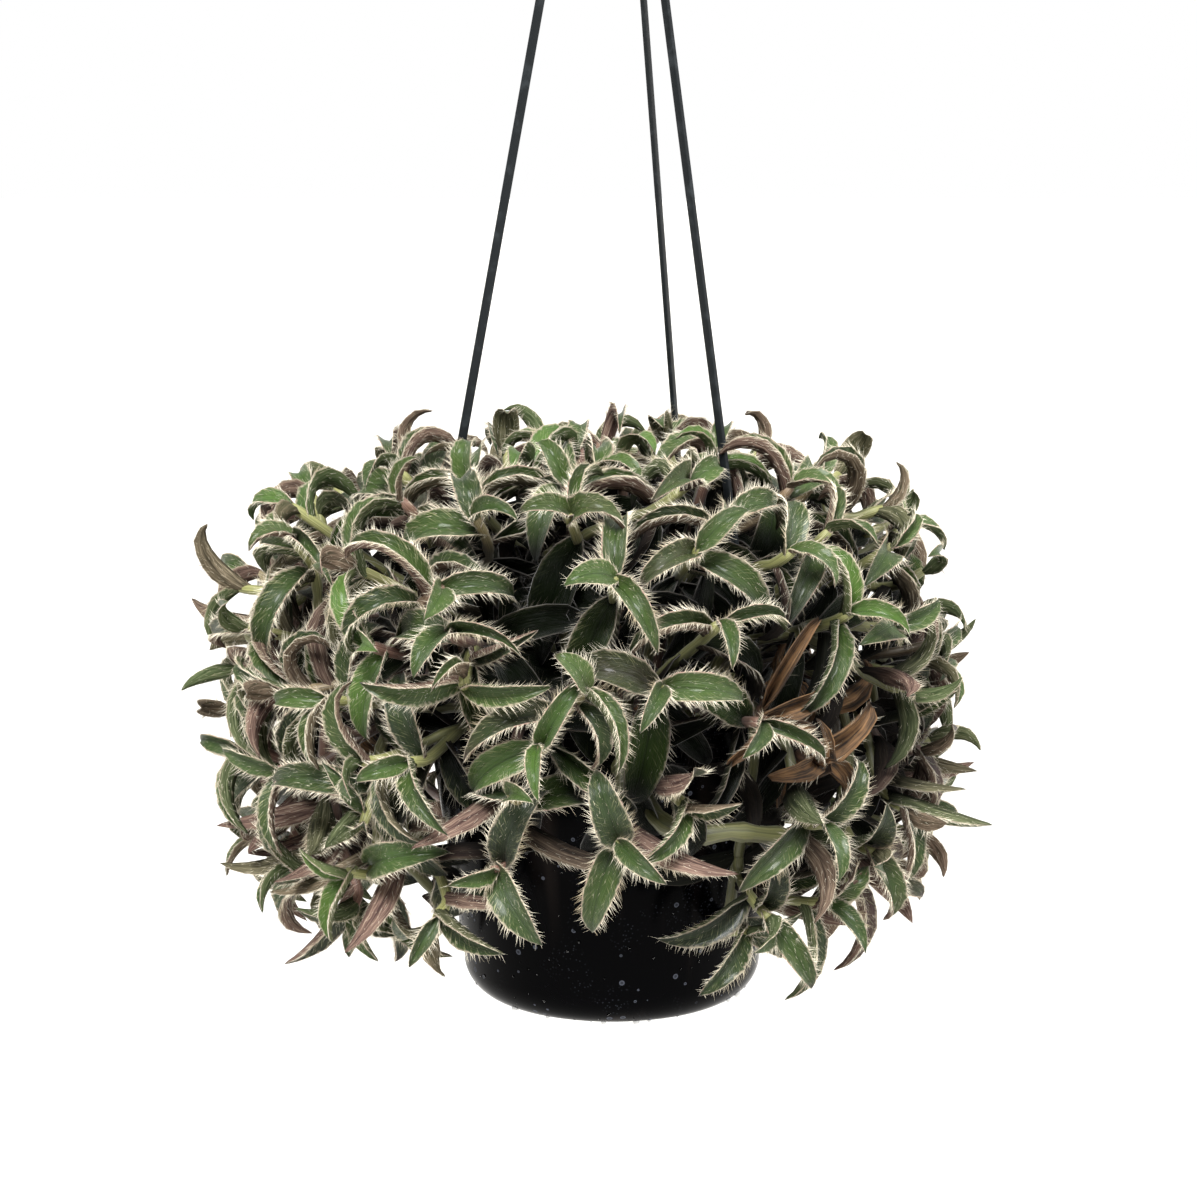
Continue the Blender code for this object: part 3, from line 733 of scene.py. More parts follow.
def side_tips(taken):
    """The tips of the side shoots: those listed, then those of an even spiral wherever there is room."""
    chosen = []
    spots = [Vector(tip) for tip in taken]
    for azimuth, elevation in DRY_SIDE_SHOOTS:
        chosen.append((azimuth, elevation, shoot_tip(azimuth, elevation, DRY_SIDE_REACH), True))
    dead = [tip for _, _, tip, _ in chosen]
    wanted = [(pair, LISTED_SHARE) for pair in SIDE_SHOOTS]
    for i in range(SIDE_CANDIDATES):
        height = 1 - 1.66 * (i + 0.5) / SIDE_CANDIDATES
        elevation = degrees(asin(height))
        azimuth = degrees(i * GOLDEN_TURN) % 360
        azimuth = azimuth - 360 if azimuth > 180 else azimuth
        wanted.append(((azimuth, elevation), 1.0))
    for (azimuth, elevation), share in wanted:
        at_front = abs(azimuth - FRONT_MIDDLE) < FRONT_HALF and share == 1.0
        lowest = SIDE_LOWEST_AT_FRONT if at_front else SIDE_LOWEST
        tip = shoot_tip(azimuth, elevation)
        if elevation < lowest or min((tip - s).length for s in spots) < SIDE_SPACING * share:
            continue
        if min((tip - d).length for d in dead) < DRY_SIDE_CLEAR:
            continue
        spots.append(tip)
        chosen.append((azimuth, elevation, tip, False))
    return chosen


def side_path(host, azimuth, elevation, tip, start, wander, rng):
    """A side shoot's points: out of its host's stem, some way back from that one's tip, to its own tip."""
    root, along = along_path(host, start)
    lean = radians(elevation * (1.0 if elevation > 0 else 0.4) + 8)
    heading = around(azimuth, cos(lean), sin(lean))
    span = (tip - root).length
    shift = Vector([rng.gauss(0, wander) for _ in range(3)])
    first = root + along * (0.35 * span) + UP * 0.004 + shift * 0.3
    last = tip - heading * (0.40 * span) + shift
    return [bezier(root, first, last, tip, i / 5) for i in range(6)]


def grow_side_shoots(room, hosts, count):
    """Side shoots, each out of a near host's stem, and the thick one last. Gives each one's host, elevation
    and points."""
    grown = []
    for azimuth, elevation, tip, dry in side_tips([path[-1] for path in hosts]):
        rng = random.Random(SIDE_SEED + len(grown))
        near = sorted(range(count), key=lambda n: (hosts[n][-1] - tip).length)
        if dry:
            near = [count] * SIDE_HOSTS
        for attempt in range(SIDE_TRIES):
            host = near[attempt % SIDE_HOSTS]
            start = FORK_NEAREST + FORK_RANGE * rng.random()
            path = side_path(hosts[host], azimuth, elevation, tip, start, 0.002 + 0.0008 * attempt, rng)
            wide = tube(path, STEM_TIP_RADIUS, STEM_TIP_RADIUS, STEM_SIDES, FIT_GAP)
            if not room.is_clear((host,), *wide):
                continue
            room.add(len(hosts) + len(grown), *tube(path, STEM_TIP_RADIUS, STEM_TIP_RADIUS, STEM_SIDES))
            grown.append((host, elevation, path))
            break
    path = [around(azimuth, radius, RIM_Z + z) for azimuth, radius, z in THICK_SHOOT]
    forks = [along_path(host, THICK_SHOOT_FORK)[0] for host in hosts[:count]]
    host = min(range(count), key=lambda n: (forks[n] - path[0]).length)
    path.insert(0, forks[host])
    room.add(len(hosts) + len(grown), *tube(path, THICK_SHOOT_RADIUS, THICK_SHOOT_RADIUS, STEM_SIDES))
    grown.append((host, THICK_SHOOT_ELEVATION, path))
    return grown


def how_far_out(co):
    """0 deep inside the plant and 1 at its outer leaves, by the rounded outline that its tips keep to."""
    side = (hypot(co.x, co.y) / TIP_REACH_SIDE) ** OUTLINE_POWER
    rise = (abs(co.z - RIM_Z) / TIP_REACH_UP) ** OUTLINE_POWER
    reach = (side + rise) ** (1 / OUTLINE_POWER)
    return min(1.0, max(0.0, (reach - DARK_REACH) / (FULL_REACH - DARK_REACH)))


# What each point of a plant piece stores for its finishes and hairs: its place on the leaf or stem, its
# youth, tone and blush, the way its hairs point, their size, and how many of them there are
STORED = {
    "place": "FLOAT_VECTOR", "look": "FLOAT_VECTOR", "hair_way": "FLOAT_VECTOR", "hair_size": "FLOAT",
    "hair_share": "FLOAT",
}


class Growth:
    """One plant piece: its points, its faces, and what it stores at each."""

    def __init__(self):
        self.verts = []
        self.faces = []
        self.finish = []
        self.fringe = []
        self.stored = [[] for _ in STORED]

    def point(self, co, place, look, way, size, share=1.0):
        self.verts.append(co)
        share *= HAIR_INSIDE + (1 - HAIR_INSIDE) * how_far_out(co)
        for row, value in zip(self.stored, (place, look, way, size, share)):
            row.append(value)
        return len(self.verts) - 1

    def face(self, corners, finish, fringe=False):
        self.faces.append(corners)
        self.finish.append(finish)
        self.fringe.append(fringe)

    def add(self, other):
        """Takes in another growth."""
        first = len(self.verts)
        self.faces += [[c + first for c in face] for face in other.faces]
        mine = (self.verts, self.finish, self.fringe, *self.stored)
        for row, more in zip(mine, (other.verts, other.finish, other.fringe, *other.stored)):
            row.extend(more)

    def build(self, name, finishes):
        made = mesh_object(name, self.verts, self.faces, finishes)
        mesh = made.data
        mesh.polygons.foreach_set("material_index", self.finish)
        for (key, kind), row in zip(STORED.items(), self.stored):
            layer = mesh.attributes.new(key, kind, "POINT")
            if kind == "FLOAT":
                layer.data.foreach_set("value", row)
            else:
                layer.data.foreach_set("vector", [value for vector in row for value in vector])
        mesh.attributes.new("fringe", "BOOLEAN", "FACE").data.foreach_set("value", self.fringe)
        mesh.shade_smooth()
        mesh.update()
        return made


def curled(leaf, amount):
    """The leaf with its outer part bent further down, by an angle in radians at the tip."""
    line = leaf["line"]
    fresh = line[:4]
    for step in range(3, LEAF_STEPS):
        heading = line[step + 1] - line[step]
        bend = amount * ((step - 2) / (LEAF_STEPS - 3)) ** 1.5
        side = leaf["across"].normalized()
        upper = heading.normalized().cross(side)
        heading = heading * cos(bend) - upper * (heading.length * sin(bend))
        fresh.append(fresh[-1] + heading)
    return {**leaf, "line": fresh}


def blade_section(leaf, t, settings, ripple):
    """One closed ring of a fine leaf: (point, share across from -1 to 1, normal) for its upper face from left
    to right, then its underside back again. The blade is cupped, and its root clasps the stem."""
    point, side, upper = leaf_frame(leaf, t)
    clasp = max(0.0, 1 - t / CLASP_END)
    fold = min(leaf["fold"] * leaf["cup"], MOST_FOLD) + clasp * 0.6
    half = fine_half_width(leaf, t)
    top = []
    low = []
    for u in LEAF_COLUMNS:
        share = abs(u)
        way = copysign(1, u)
        tilt = fold * (0.5 + share)
        out = half * (sin(tilt) - sin(0.5 * fold)) / fold
        rise = half * (cos(0.5 * fold) - cos(tilt)) / fold
        rise += ripple * share ** 3 * sin(19 * t + way * 1.3 + leaf["phase"]) * sin(pi * t)
        normal = (upper * cos(tilt) - side * (way * sin(tilt))).normalized()
        slim = settings.blade_thickness
        slim += (settings.margin_thickness - settings.blade_thickness) * share ** 0.7
        slim *= 1 - 0.5 * t
        at = point + side * (way * out) + upper * rise
        top.append((at + normal * slim * UPPER_SHARE, u, normal))
        low.append((at - normal * slim * (1 - UPPER_SHARE), u, -normal))
    return top + low[::-1], side, upper


def add_leaf(growth, leaf, settings, look, dry=False):
    """A fine leaf as one closed shell, with what its hairs need."""
    columns = len(LEAF_COLUMNS)
    young = look[0]
    # Leaves deep inside take a copy of the face with little shine, as painted shade
    face = UPPER if how_far_out(leaf_frame(leaf, 0.5)[0]) > SHADED_WITHIN else SHADED_UPPER
    rings = []
    for t in LEAF_STATIONS:
        section, side, upper = blade_section(leaf, t, settings, DRY_WAVE if dry else LIVING_WAVE)
        ahead = side.cross(upper)
        ring = []
        for number, (co, u, normal) in enumerate(section):
            outward = side * copysign(1, u) * abs(u) ** 2
            edge = abs(u) > 0.85
            way = outward * 0.85 + upper * 0.30 + ahead * 0.75 if edge else normal * 0.42 + ahead
            size = 1.0 if edge else 0.50 if number < columns else 0.62
            size *= (0.62 + 0.38 * sin(pi * min(1, t + 0.12))) * (1 - 0.25 * young)
            place = (u, t, 1.0 if number < columns else -1.0)
            ring.append(growth.point(co, place, look, way, size, DRY_HAIR_SHARE if dry else 1.0))
        rings.append(ring)
    tip, side, upper = leaf_frame(leaf, 1.0)
    end = growth.point(tip, (0, 1, 1), look, side.cross(upper), 0.7)
    count = 2 * columns
    growth.face(rings[0][::-1], EDGE)
    for low, high in zip(rings, rings[1:] + [[end] * count]):
        for i in range(count):
            after = (i + 1) % count
            rim = i in (0, columns - 2, columns, count - 2)
            cut = i in (columns - 1, count - 1)
            finish = face if i < columns - 1 else EDGE if cut else UNDER
            corners = list(dict.fromkeys([low[i], high[i], high[after], low[after]]))
            if len(corners) > 2:
                growth.face(corners, finish, rim or cut)


def smooth_path(points, steps=3):
    """More points on a smooth line through the points."""
    padded = [points[0] * 2 - points[1]] + list(points) + [points[-1] * 2 - points[-2]]
    line = []
    for a, b, c, d in zip(padded, padded[1:], padded[2:], padded[3:]):
        for step in range(steps):
            t = step / steps
            line.append(0.5 * (b * 2 + (c - a) * t + (a * 2 - b * 5 + c * 4 - d) * t * t
                               + (b * 3 - a - c * 3 + d) * t ** 3))
    return line + [points[-1]]


def add_stem(growth, path, radius, tip_radius, places, look, sides=8):
    """A round stem as a closed tube, thicker at each leaf's sheath, with a stripe pattern's numbers."""
    line = smooth_path(path)
    left = sum((b - a).length for a, b in zip(line, line[1:]))
    whole = left
    rings = []
    for i, point in enumerate(line):
        ahead = (line[min(i + 1, len(line) - 1)] - line[max(i - 1, 0)]).normalized()
        first = ahead.orthogonal().normalized() if not i else (first - ahead * first.dot(ahead)).normalized()
        second = ahead.cross(first)
        size = radius + (tip_radius - radius) * (1 - left / whole)
        sheath = max([0.0] + [1 - abs(left - p - SHEATH_BACK) / SHEATH_LENGTH for p in places])
        size *= 1 + SHEATH_SWELL * sheath * (left > 0.001)
        ring = []
        for side in range(sides):
            turn = 2 * pi * side / sides
            out = first * cos(turn) + second * sin(turn)
            place = (cos(turn), sin(turn), left * 100)
            ring.append(growth.point(point + out * size, place, look, out + ahead * 0.4, 0.55))
        rings.append(ring)
        if i + 1 < len(line):
            left -= (line[i + 1] - point).length
    for corners in (rings[0][::-1], *bands(rings), rings[-1]):
        growth.face(corners, STEM)


def leaf_look(number, index, elevation, rng):
    """Youth, tone and purple blush of one leaf, each from 0 to 1."""
    first, less = BRIGHT_YOUTH if number in BRIGHT_SHOOTS else PLAIN_YOUTH
    youth = max(0.0, first - index * less) * rng.uniform(0.6, 1.2)
    # The tone is partly random, and partly painted light: shoots that rise higher get lighter leaves
    tone = min(1.0, max(0.0, 0.55 + 0.006 * elevation + rng.gauss(0, 0.22)))
    blush = max(0.0, rng.gauss(0.10 + 0.03 * index, 0.14))
    if number in PURPLE_SHOOTS:
        blush = rng.uniform(0.5, 0.95)
    return (min(1.0, youth), tone, min(1.0, blush))


# Kinds of node and their settings, by short names
MATH, MIX, NOISE, CELLS, RANGE, RAMP, SPLIT, JOIN, STRETCH, BUMP, ATTRIBUTE, VECTORS, PLACES = (
    "ShaderNode" + kind for kind in (
        "Math", "Mix", "TexNoise", "TexVoronoi", "MapRange", "ValToRGB", "SeparateXYZ", "CombineXYZ",
        "Mapping", "Bump", "Attribute", "VectorMath", "TexCoord"))
RANDOM = "FunctionNodeRandomValue"
NAMED = "GeometryNodeInputNamedAttribute"
TIMES, PLUS, LESS, OVER, POWER, ABSOLUTE, LENGTH, SCALED = (
    {"operation": name} for name in (
        "MULTIPLY", "ADD", "SUBTRACT", "DIVIDE", "POWER", "ABSOLUTE", "LENGTH", "SCALE"))
PLUS_CLAMPED = {"operation": "ADD", "use_clamp": True}
SMOOTH = {"interpolation_type": "SMOOTHSTEP"}
COLOURS = {"data_type": "RGBA"}
COLOURS_MULTIPLIED = {"data_type": "RGBA", "blend_type": "MULTIPLY"}
PLACE = {"attribute_name": "place"}
LOOK = {"attribute_name": "look"}
# The dark brown that rims and hairs are painted deep inside the plant, as painted shade
PAINTED_SHADE_BROWN = "1E1A14"


def new_material(name):
    """A material, the function that adds its nodes, and the coordinates in metres that most patterns use."""
    made = bpy.data.materials.new(name)
    made.use_nodes = True
    add = functools.partial(node, made.node_tree)
    return made, add, add(PLACES, output="Object")


def finished(made, relief, inputs):
    """Gives a material's Principled shader its relief, as (height, depth in metres, strength), and its even
    values and patterns."""
    shader = made.node_tree.nodes["Principled BSDF"]
    fill(shader, inputs)
    if relief:
        height, depth, strength = relief
        raised = {"Height": height, "Distance": depth, "Strength": strength}
        fill(shader, {"Normal": node(made.node_tree, BUMP, raised)})
    return made


def painted(add, base, layers):
    """Lays colours over a base, each with the share that its pattern gives it, as (share, colour)."""
    for share, colour in layers:
        base = add(MIX, {0: share, 6: base, 7: colour}, COLOURS, 2)
    return base


def with_stops(colour, *stops):
    """Gives a colour ramp its stops, as (position, colour)."""
    row = colour.node.color_ramp.elements
    while len(row) < len(stops):
        row.new(0.5)
    for element, (position, shade) in zip(row, stops):
        element.position = position
        element.color = (*linear(shade), 1)
    return colour


def outward(add, spot):
    """The same as how_far_out, for a material."""
    level = add(VECTORS, (add(STRETCH, {"Vector": spot, "Scale": (1, 1, 0)}),), LENGTH, "Value")
    side = add(MATH, (add(MATH, (level, TIP_REACH_SIDE), OVER), OUTLINE_POWER), POWER)
    height = add(MATH, (add(SPLIT, (spot,), None, "Z"), RIM_Z), LESS)
    rise = add(MATH, (add(MATH, (height, TIP_REACH_UP), OVER),), ABSOLUTE)
    both = add(MATH, (side, add(MATH, (rise, OUTLINE_POWER), POWER)), PLUS)
    return add(RANGE, (add(MATH, (both, 1 / OUTLINE_POWER), POWER), DARK_REACH, FULL_REACH), SMOOTH)


def painted_shade_inside(add, spot, colour, shade):
    """The colour itself on the plant's outside, and times a painted shade deep inside."""
    deep = add(MIX, {0: 1.0, 6: colour, 7: shade}, COLOURS_MULTIPLIED, 2)
    return painted(add, deep, ((outward(add, spot), colour),))


def leaf_upper_material(settings, name, gloss, coat):
    """A fleshy leaf, grown with a waxy skin: it shines softly, has faint parallel veins, and pales into its
    edge. Deep inside the plant it is painted darker as shade, and a copy with little shine stands for that
    shade."""
    made, add, spot = new_material(name)
    place = add(ATTRIBUTE, (), PLACE, "Vector")
    across = add(SPLIT, (place,)).node.outputs
    look = add(SPLIT, (add(ATTRIBUTE, (), LOOK, "Vector"),)).node.outputs
    edge = add(MATH, (across["X"],), ABSOLUTE)
    # Mottling of 6 mm, veins 0.4 mm apart across a leaf 14 mm wide, and a margin frayed each 1.2 mm
    mottle = add(NOISE, {"Vector": spot, "Scale": 160, "Detail": 3})
    veins = add(NOISE, {"Vector": add(STRETCH, {"Vector": place, "Scale": (16, 1.1, 0)}), "Scale": 1,
                        "Detail": 3, "Roughness": 0.6})
    fray = add(NOISE, {"Vector": spot, "Scale": 800})
    # Mid green by the leaf's tone, which is partly painted light, lighter on higher shoots, and by the
    # mottling
    light = add(MATH, (add(MATH, (look["Y"], 0.75), TIMES), add(MATH, (mottle, 0.35), TIMES)), PLUS)
    # Bristles that lie on the face, slanted to its tip: 0.1 mm thick, drawn 0.6 mm apart so that they show
    lag = add(MATH, (across["Y"], add(MATH, (edge, 0.16), TIMES)), LESS)
    slant = add(JOIN, (add(MATH, (across["X"], 1.6), TIMES), add(MATH, (lag, 62), TIMES)))
    lines = add(RANGE, (add(NOISE, {"Vector": slant, "Scale": 1}), 0.54, 0.68), SMOOTH)
    bristles = add(MATH, (lines, add(RANGE, (edge, 0.10, 0.80, 0, 0.58), SMOOTH)), TIMES)
    tips = add(RANGE, (across["Y"], 0.78, 1.0, 0, 0.33), SMOOTH)
    blush = add(MATH, (look["Z"], tips), PLUS_CLAMPED)
    blotched = add(MATH, (blush, add(MATH, (mottle, 0.5), TIMES)), PLUS)
    stray = add(MATH, (add(MATH, (fray, 0.5), LESS), 0.42), TIMES)
    margin = add(RANGE, (add(MATH, (edge, stray), PLUS), 0.86, 1.02), SMOOTH)
    colour = painted(add, settings.deep_green, (
        (add(RANGE, (light, 0.15, 1.0), SMOOTH), settings.mid_green),
        (add(MATH, (look["X"], 0.9), TIMES), settings.young_green),
        (add(RANGE, (veins, 0.5, 0.75, 0, 0.35), SMOOTH), "5A6A3F"),
        (add(RANGE, (veins, 0.5, 0.25, 0, 0.55), SMOOTH), "141E0C"),
        # A painted shade along the keel, in the fold's groove
        (add(RANGE, (edge, 0.10, 0, 0, 0.35), SMOOTH), "16200D"),
        (add(RANGE, (blotched, 0.45, 1.15), SMOOTH), "43302C"),
        (bristles, "A9A97E"),
        (add(MATH, (margin, 0.68), TIMES), settings.margin_cream)))
    relief = add(MATH, (veins, add(MATH, (mottle, 0.5), TIMES)), PLUS)
    # Deep inside the plant the face is painted darker, as shade
    return finished(made, (relief, 0.0008, 0.9), {
        "Base Color": painted_shade_inside(add, spot, colour, "303630"), "IOR": 1.42, "Specular IOR Level": gloss,
        "Coat Weight": coat, "Coat Roughness": 0.16, "Sheen Weight": 0.05, "Sheen Roughness": 0.4,
        "Roughness": add(RANGE, (margin, 0, 1, 0.34, 0.75))})


def leaf_under_material(settings):
    """A leaf's underside, grown with ribs and a felt of hairs: brown purple with olive streaks, and matt."""
    made, add, spot = new_material("felted purple brown leaf underside")
    place = add(ATTRIBUTE, (), PLACE, "Vector")
    across = add(SPLIT, (place,)).node.outputs
    look = add(SPLIT, (add(ATTRIBUTE, (), LOOK, "Vector"),)).node.outputs
    # Ribs 1.2 mm apart. The felt's hairs are 0.03 mm thick, and drawn 0.3 mm apart so that they show
    ribs, felt = (
        add(NOISE, {"Vector": add(STRETCH, {"Vector": place, "Scale": scale}), "Scale": 1, "Detail": 3,
                    "Roughness": 0.6})
        for scale in ((6, 1.2, 0), (26, 5, 0)))
    streaks = add(MATH, (add(MATH, (ribs, 0.55), TIMES), add(MATH, (felt, 0.45), TIMES)), PLUS)
    olive, brown = (
        with_stops(add(RAMP, (streaks,)), *zip((0.34, 0.46, 0.56, 0.68), shades))
        for shades in (("161C0F", "343C25", "596043", "99997E"), ("1F1614", "4A3833", "7A6458", "B7A691")))
    edge = add(MATH, (across["X"],), ABSOLUTE)
    colour = painted(add, olive, (
        (add(RANGE, (look["Z"], 0.02, 0.26), SMOOTH), brown),
        (add(MATH, (look["X"], 0.7), TIMES), "4B6236"),
        (add(RANGE, (edge, 0.90, 1.0, 0, 0.6), SMOOTH), settings.margin_cream)))
    # Deep inside the plant the underside is painted darker, as shade
    return finished(made, (streaks, 0.0006, 0.8), {
        "Base Color": painted_shade_inside(add, spot, colour, "343430"), "Roughness": 0.8,
        "Specular IOR Level": 0.15})


def leaf_edge_material(settings):
    """The cream rim of a leaf, grown thin, where the hairs' roots crowd and leave green between them."""
    made, add, spot = new_material("cream leaf rim")
    # Pink patches of 9 mm, and gaps between the hairs' roots drawn 1 mm apart, where the real ones are 0.3 mm
    pinked = add(NOISE, {"Vector": spot, "Scale": 110})
    between = add(NOISE, {"Vector": spot, "Scale": 950})
    colour = painted(add, settings.margin_cream, (
        (add(RANGE, (pinked, 0.40, 0.65), SMOOTH), "94776B"),
        (add(RANGE, (between, 0.58, 0.42, 0, 0.8), SMOOTH), "4A4A2C")))
    # Deep inside the plant the rim is painted dark brown, as shade
    return finished(made, None, {
        "Base Color": painted(add, PAINTED_SHADE_BROWN, ((outward(add, spot), colour),)), "Roughness": 0.65,
        "Sheen Weight": 0.3})


def stem_material():
    """A juicy stem, grown smooth and a little shiny: striped lengthwise in pale green, straw and pinkish
    brown."""
    made, add, spot = new_material("striped juicy stem")
    place = add(ATTRIBUTE, (), PLACE, "Vector")
    look = add(SPLIT, (add(ATTRIBUTE, (), LOOK, "Vector"),)).node.outputs
    # Stripes 0.4 mm wide and 100 mm long
    stripes = add(NOISE, {"Vector": add(STRETCH, {"Vector": place, "Scale": (4.5, 4.5, 0.10)}), "Scale": 1,
                          "Detail": 3})
    pale, pink = (
        with_stops(add(RAMP, (stripes,)), *zip((0.35, 0.55, 0.75), shades))
        for shades in (("64673A", "94945C", "BDB88A"), ("54382F", "806052", "AA8B78")))
    colour = painted(add, pale, ((add(RANGE, (look["Z"], 0.2, 0.6), SMOOTH), pink),))
    # Deep inside the plant the stem is painted darker, as shade
    return finished(made, (stripes, 0.0004, 0.6), {
        "Base Color": painted_shade_inside(add, spot, colour, "8C8C86"), "Roughness": 0.45, "Sheen Weight": 0.1})


def dry_material(name, light, dark):
    """Dead leaf or stem, dried out and shrunk: papery, dull, and blotched orange brown."""
    made, add, spot = new_material(name)
    place = add(ATTRIBUTE, (), PLACE, "Vector")
    # Creases 1 mm apart and blotches of 8 mm
    creases = add(NOISE, {"Vector": add(STRETCH, {"Vector": place, "Scale": (7, 2, 0.3)}), "Scale": 1,
                          "Detail": 4, "Roughness": 0.6})
    blotch = add(NOISE, {"Vector": spot, "Scale": 130, "Detail": 3})
    mixed = add(MATH, (add(MATH, (creases, 0.6), TIMES), add(MATH, (blotch, 0.4), TIMES)), PLUS)
    return finished(made, (mixed, 0.0010, 0.9), {
        "Base Color": with_stops(add(RAMP, (mixed,)), (0.42, dark), (0.64, light)), "Roughness": 0.85})


def hair_material(settings):
    """Fine plant hairs, grown as clear dry cells: silky white, straw in places, and painted dark brown as
    shade deep inside the plant.
    """
    made, add, spot = new_material("silky white plant hairs")
    # Straw patches of 14 mm
    aged = add(RANGE, (add(NOISE, {"Vector": spot, "Scale": 70}), 0.45, 0.7), SMOOTH)
    colour = painted(add, settings.hair_white, ((aged, "B5A78A"),))
    # Deep inside the plant the hairs are painted dark brown, as shade
    return finished(made, None, {
        "Base Color": painted(add, PAINTED_SHADE_BROWN, ((outward(add, spot), colour),)), "Roughness": 0.5,
        "IOR": 1.45})


def pot_material(settings):
    """Polypropylene, moulded in a polished mould: black and glossy, with dried water spots and dust on it."""
    made, add, spot = new_material("glossy black moulded polypropylene")
    # Spots 1 to 2 mm wide where drops dried, on a third of the cells of 4 mm, grit of 0.4 mm in patches of
    # 17 mm, and runs of dust 22 mm wide
    dots = add(CELLS, {"Vector": spot, "Scale": 260, "Randomness": 1}).node.outputs
    kind = add("ShaderNodeSeparateColor", (dots["Color"],)).node.outputs
    size = add(MATH, (add(MATH, (kind["Green"], 0.16), TIMES), 0.10), PLUS)
    from_middle = add(MATH, (dots["Distance"], size), OVER)
    hollow = add(RANGE, (from_middle, 0.75, 0.45, 1, 0.4), SMOOTH)
    disc = add(MATH, (add(RANGE, (from_middle, 1.05, 0.85), SMOOTH), hollow), TIMES)
    specks = add(MATH, (disc, add(RANGE, (kind["Red"], 0.60, 0.70), SMOOTH)), TIMES)
    fine = add(CELLS, {"Vector": spot, "Scale": 900, "Randomness": 1}, None, "Distance")
    patches = add(NOISE, {"Vector": spot, "Scale": 60})
    grit = add(MATH, (add(RANGE, (fine, 0.30, 0.10, 0, 0.06), SMOOTH),
                      add(RANGE, (patches, 0.48, 0.66), SMOOTH)), TIMES)
    runs = add(STRETCH, {"Vector": spot, "Scale": (1, 1, 0.05)})
    dust = add(RANGE, (add(NOISE, {"Vector": runs, "Scale": 45, "Detail": 3}), 0.50, 0.70), SMOOTH)
    marks = add(MATH, (add(MATH, (specks, 0.26), TIMES), grit), PLUS)
    dulled = add(MATH, (specks, add(MATH, (dust, 0.3), TIMES)), PLUS_CLAMPED)
    # The mould's fine pitting is 0.1 mm, and drawn at 1 mm
    pitting = add(NOISE, {"Vector": spot, "Scale": 900})
    return finished(made, (pitting, 0.00003, 0.3), {
        "Base Color": painted(add, settings.pot_black, (
            (add(MATH, (dust, 0.045), TIMES), "A08C80"), (marks, "8E94A4"))),
        "IOR": 1.49, "Specular IOR Level": 0.024, "Roughness": add(RANGE, (dulled, 0, 1, 0.17, 0.55))})


def hanger_material(settings):
    """Polypropylene, moulded in a satin mould: near black, with a fine grain and paler rubbed places."""
    made, add, spot = new_material("satin black moulded polypropylene")
    # Rubbed places of 4 mm. The mould's grain is 0.1 mm, and drawn at 0.4 mm so that it shows
    worn = add(RANGE, (add(NOISE, {"Vector": spot, "Scale": 240, "Detail": 3}), 0.5, 0.8, 0, 0.35), SMOOTH)
    grain = add(NOISE, {"Vector": spot, "Scale": 2600})
    return finished(made, (grain, 0.00004, 0.4), {
        "Base Color": painted(add, settings.hanger_black, ((worn, "3C4144"),)), "IOR": 1.49,
        "Specular IOR Level": 0.15, "Roughness": 0.42})


def soil_material():
    """Peat mix, watered and settled: near black brown, crumbly and dull."""
    made, add, spot = new_material("moist peat mix")
    # Crumbs of 1.4 mm
    crumbs = add(NOISE, {"Vector": spot, "Scale": 700, "Detail": 5, "Roughness": 0.65})
    return finished(made, (crumbs, 0.0015, 0.9), {
        "Base Color": with_stops(add(RAMP, (crumbs,)), (0.35, "1A120D"), (0.55, "33241A"), (0.75, "584231")),
        "Roughness": 0.9})


def crumb_material():
    """Crumbs of broken bark, brown and dull, and of puffed perlite, white and rough."""
    made, add, spot = new_material("bark and perlite crumbs")
    # Each crumb of about 4 mm has its own colour, and its roughness is 0.7 mm
    kind = add(NOISE, {"Vector": spot, "Scale": 260, "Detail": 1})
    rough = add(NOISE, {"Vector": spot, "Scale": 1500, "Detail": 3})
    return finished(made, (rough, 0.0003, 0.6), {
        "Base Color": with_stops(add(RAMP, (kind,)), (0.40, "3B2617"), (0.60, "6B4A2E"), (0.68, "D8D2C4")),
        "Roughness": 0.85})


def water_material():
    """Clear water, in drops that surface tension rounds: they bend the light of the room to bright points."""
    made, add, spot = new_material("clear water")
    # Ripples of 0.8 mm
    ripples = add(NOISE, {"Vector": spot, "Scale": 1200, "Detail": 1})
    return finished(made, (ripples, 0.00002, 0.3), {
        "Base Color": "F4F8FA", "IOR": 1.333, "Roughness": 0.02, "Transmission Weight": 1.0})


def floor_material():
    """A board with matt, off-white paint, rolled on: faintly uneven in tone and surface."""
    made, add, spot = new_material("matt white painted board")
    # Tones 330 mm wide, and a roller's texture of 11 mm
    rolled = add(NOISE, {"Vector": spot, "Scale": 90, "Detail": 3})
    return finished(made, (rolled, 0.0005, 0.15), {
        "Base Color": painted(add, "D2D0CC", ((add(NOISE, {"Vector": spot, "Scale": 3}), "DAD8D4"),)),
        "Roughness": 0.9})


def node_group(name, inputs):
    """A Geometry Nodes tree with one mesh in and out and named inputs (name, kind, default), the function
    that adds its nodes, and the sockets of its inputs."""
    tree = bpy.data.node_groups.new(name, "GeometryNodeTree")
    tree.interface.new_socket("Geometry", in_out="INPUT", socket_type="NodeSocketGeometry")
    for label, kind, default in (*inputs, ("Finish", "Material", None)):
        socket = tree.interface.new_socket(label, in_out="INPUT", socket_type="NodeSocket" + kind)
        if default is not None:
            socket.default_value = default
    tree.interface.new_socket("Geometry", in_out="OUTPUT", socket_type="NodeSocketGeometry")
    add = functools.partial(node, tree)
    return tree, add, add("NodeGroupInput").node.outputs


def run_tree(target, tree, values):
    """Runs a Geometry Nodes tree on an object and keeps the result as its plain mesh."""
    modifier = target.modifiers.new(tree.name, "NODES")
    modifier.node_group = tree
    known = {item.name: item.identifier for item in tree.interface.items_tree if item.in_out == "INPUT"}
    for name, value in values.items():
        modifier[known[name]] = value
    freeze(target)


